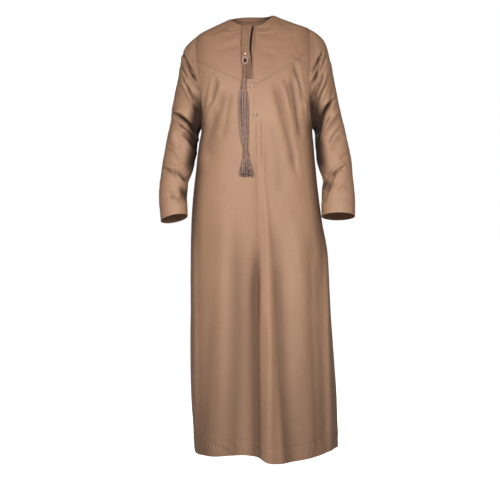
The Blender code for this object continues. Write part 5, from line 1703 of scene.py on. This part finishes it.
# The loop's knot: the wound end of the cord loop that the bead closes, beside the ring.
KNOT_PLACE = FlatPlace(-8, -151)
KNOT_RADIUS = 3.6
KNOT_WINDING = 1.1
KNOT_RIB = 0.25
KNOT_RIB_SINK = 0.2
knot_outline = [(radius + KNOT_RIB * abs(math.sin(height * math.pi / KNOT_WINDING)) - KNOT_RIB_SINK, height)
                for radius, height in ball_outline(KNOT_RADIUS)]
knot_shell = turned(KNOT_PLACE, strip_top(KNOT_PLACE) + KNOT_RADIUS, knot_outline, BALL_SIDES)
loop_knot = make_piece("loop_knot_silk", [knot_shell], KNOT_SILK)
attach(loop_knot, "root")
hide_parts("loop_knot")


# The stitching: one brown thread runs over the hem's turn, the cuffs, the chest seam, the
# placket's strips and the foot of the neckband, in short even stitches along each line.
STITCH_SPACING = 3.4
STITCH_LENGTH = 2.5
STITCH_HALF_THICK = 0.34
STITCH_PROUD = 0.1
HEM_STITCH_POINTS = 720
CUFF_STITCH_POINTS = 240
STRIP_STITCH_POINTS = 120
CHEST_STITCH_HEIGHT = 3.6
PLACKET_FOOT = (SeamPoint(-33, -222), SeamPoint(8, -228))


def stitching_tree():
    """Short stitches laid along every line of a mesh of edges."""
    tree = bpy.data.node_groups.new("stitching", "GeometryNodeTree")
    face = tree.interface
    face.new_socket("Lines", in_out="INPUT", socket_type="NodeSocketGeometry")
    for name in ("Spacing", "Stitch length", "Half thickness"):
        face.new_socket(name, in_out="INPUT", socket_type="NodeSocketFloat")
    face.new_socket("Thread", in_out="INPUT", socket_type="NodeSocketMaterial")
    face.new_socket("Stitches", in_out="OUTPUT", socket_type="NodeSocketGeometry")
    given = add_node(tree, "NodeGroupInput").outputs
    lines = add_node(tree, "GeometryNodeMeshToCurve", Mesh=given["Lines"]).outputs["Curve"]
    steps = add_node(tree, "GeometryNodeResampleCurve", {"mode": "LENGTH"}, Curve=lines,
                     Length=given["Spacing"])
    way = add_node(tree, "GeometryNodeInputTangent").outputs["Tangent"]
    lay = add_node(tree, "FunctionNodeAlignRotationToVector", {"axis": "X"}, Vector=way).outputs["Rotation"]
    half, thick = sums(tree, "MULTIPLY", given["Stitch length"], 0.5), given["Half thickness"]
    size = add_node(tree, "ShaderNodeCombineXYZ", X=half, Y=thick, Z=thick)
    grain = add_node(tree, "GeometryNodeMeshUVSphere", Segments=6, Rings=4, Radius=1.0).outputs["Mesh"]
    laid = add_node(tree, "GeometryNodeInstanceOnPoints", Points=steps.outputs["Curve"], Instance=grain,
                    Rotation=lay, Scale=size.outputs["Vector"])
    real = add_node(tree, "GeometryNodeRealizeInstances", Geometry=laid.outputs["Instances"])
    done = add_node(tree, "GeometryNodeSetMaterial", Geometry=real.outputs["Geometry"],
                    Material=given["Thread"])
    add_node(tree, "NodeGroupOutput", Stitches=done.outputs["Geometry"])
    return tree


def body_line(places):
    """A line of the body's face for the stitches to lie on."""
    turn, z = places[:, 0], places[:, 1]
    return body_surface(turn, z) + body_facing(turn, z) * STITCH_PROUD


def stitch_lines():
    """Every line that is stitched, as points on the cloth's face, and whether it closes on itself."""
    hem = hem_line(np.linspace(-90, 270, HEM_STITCH_POINTS + 1)[:-1])
    lines = [(body_line(shifted(hem, z=HEM_DEPTH)), True)]
    around = np.linspace(-180, 180, CUFF_STITCH_POINTS + 1)[:-1]
    section = np.full(around.shape, CUFF_STITCH_SECTION)
    for side in (-1, 1):
        out = sleeve_facing(side, sleeve_surface, SLEEVE_FACE_STEPS, around, section)
        lines.append((sleeve_surface(side, around, section) + out * STITCH_PROUD, True))
    seam = shifted(yoke_seam(FRONT_CELLS), z=CHEST_STITCH_HEIGHT)[2:-2]
    left_foot, right_foot = (turn_at(*place) for place in PLACKET_FOOT)
    lines.append((body_line(seam[seam[:, 0] < left_foot]), False))
    lines.append((body_line(seam[seam[:, 0] > right_foot]), False))
    z = np.linspace(PLACKET_BOTTOM_Z + STRIP_STITCH, PLACKET_TOP_Z - 1, STRIP_STITCH_POINTS)
    for edge, inset, lift in (("outer_left", STRIP_STITCH, outer_strip_lift),
                              ("outer_right", -STRIP_STITCH, outer_strip_lift),
                              ("under_right", -STRIP_STITCH, under_strip_lift)):
        face, out = strip_face(read(PLACKET, edge, z) + inset, z, lift)
        lines.append((face + out * (STITCH_PROUD - STRIP_PULL), False))
    face, way = band_face(BAND_STITCH_PART)
    lines.append(((face + way * STITCH_PROUD)[0], False))
    return lines


def make_stitching():
    points, edges, start = [], [], 0
    for line, closes in stitch_lines():
        count = len(line)
        points.append(line)
        edges += [(start + i, start + i + 1) for i in range(count - 1)]
        if closes:
            edges.append((start + count - 1, start))
        start += count
    mesh = bpy.data.meshes.new("stitch_lines")
    mesh.from_pydata((np.concatenate(points) * MM).tolist(), edges, [])
    lines = new_object("stitch_lines", mesh)
    worker = lines.modifiers.new("stitching", "NODES")
    worker.node_group = stitching_tree()
    given = {
        "Spacing": STITCH_SPACING * MM,
        "Stitch length": STITCH_LENGTH * MM,
        "Half thickness": STITCH_HALF_THICK * MM,
        "Thread": silk("stitch_thread", (0.19, 0.105, 0.066), (0.27, 0.155, 0.1), 0.5),
    }
    for socket in worker.node_group.interface.items_tree:
        if socket.in_out == "INPUT" and socket.name in given:
            worker[socket.identifier] = given[socket.name]
    sewn = bpy.data.meshes.new_from_object(lines.evaluated_get(bpy.context.evaluated_depsgraph_get()))
    bpy.data.objects.remove(lines, do_unlink=True)
    sewn.name = "stitching"
    return new_object("stitching", sewn)


stitching = make_stitching()
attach(stitching, "root")
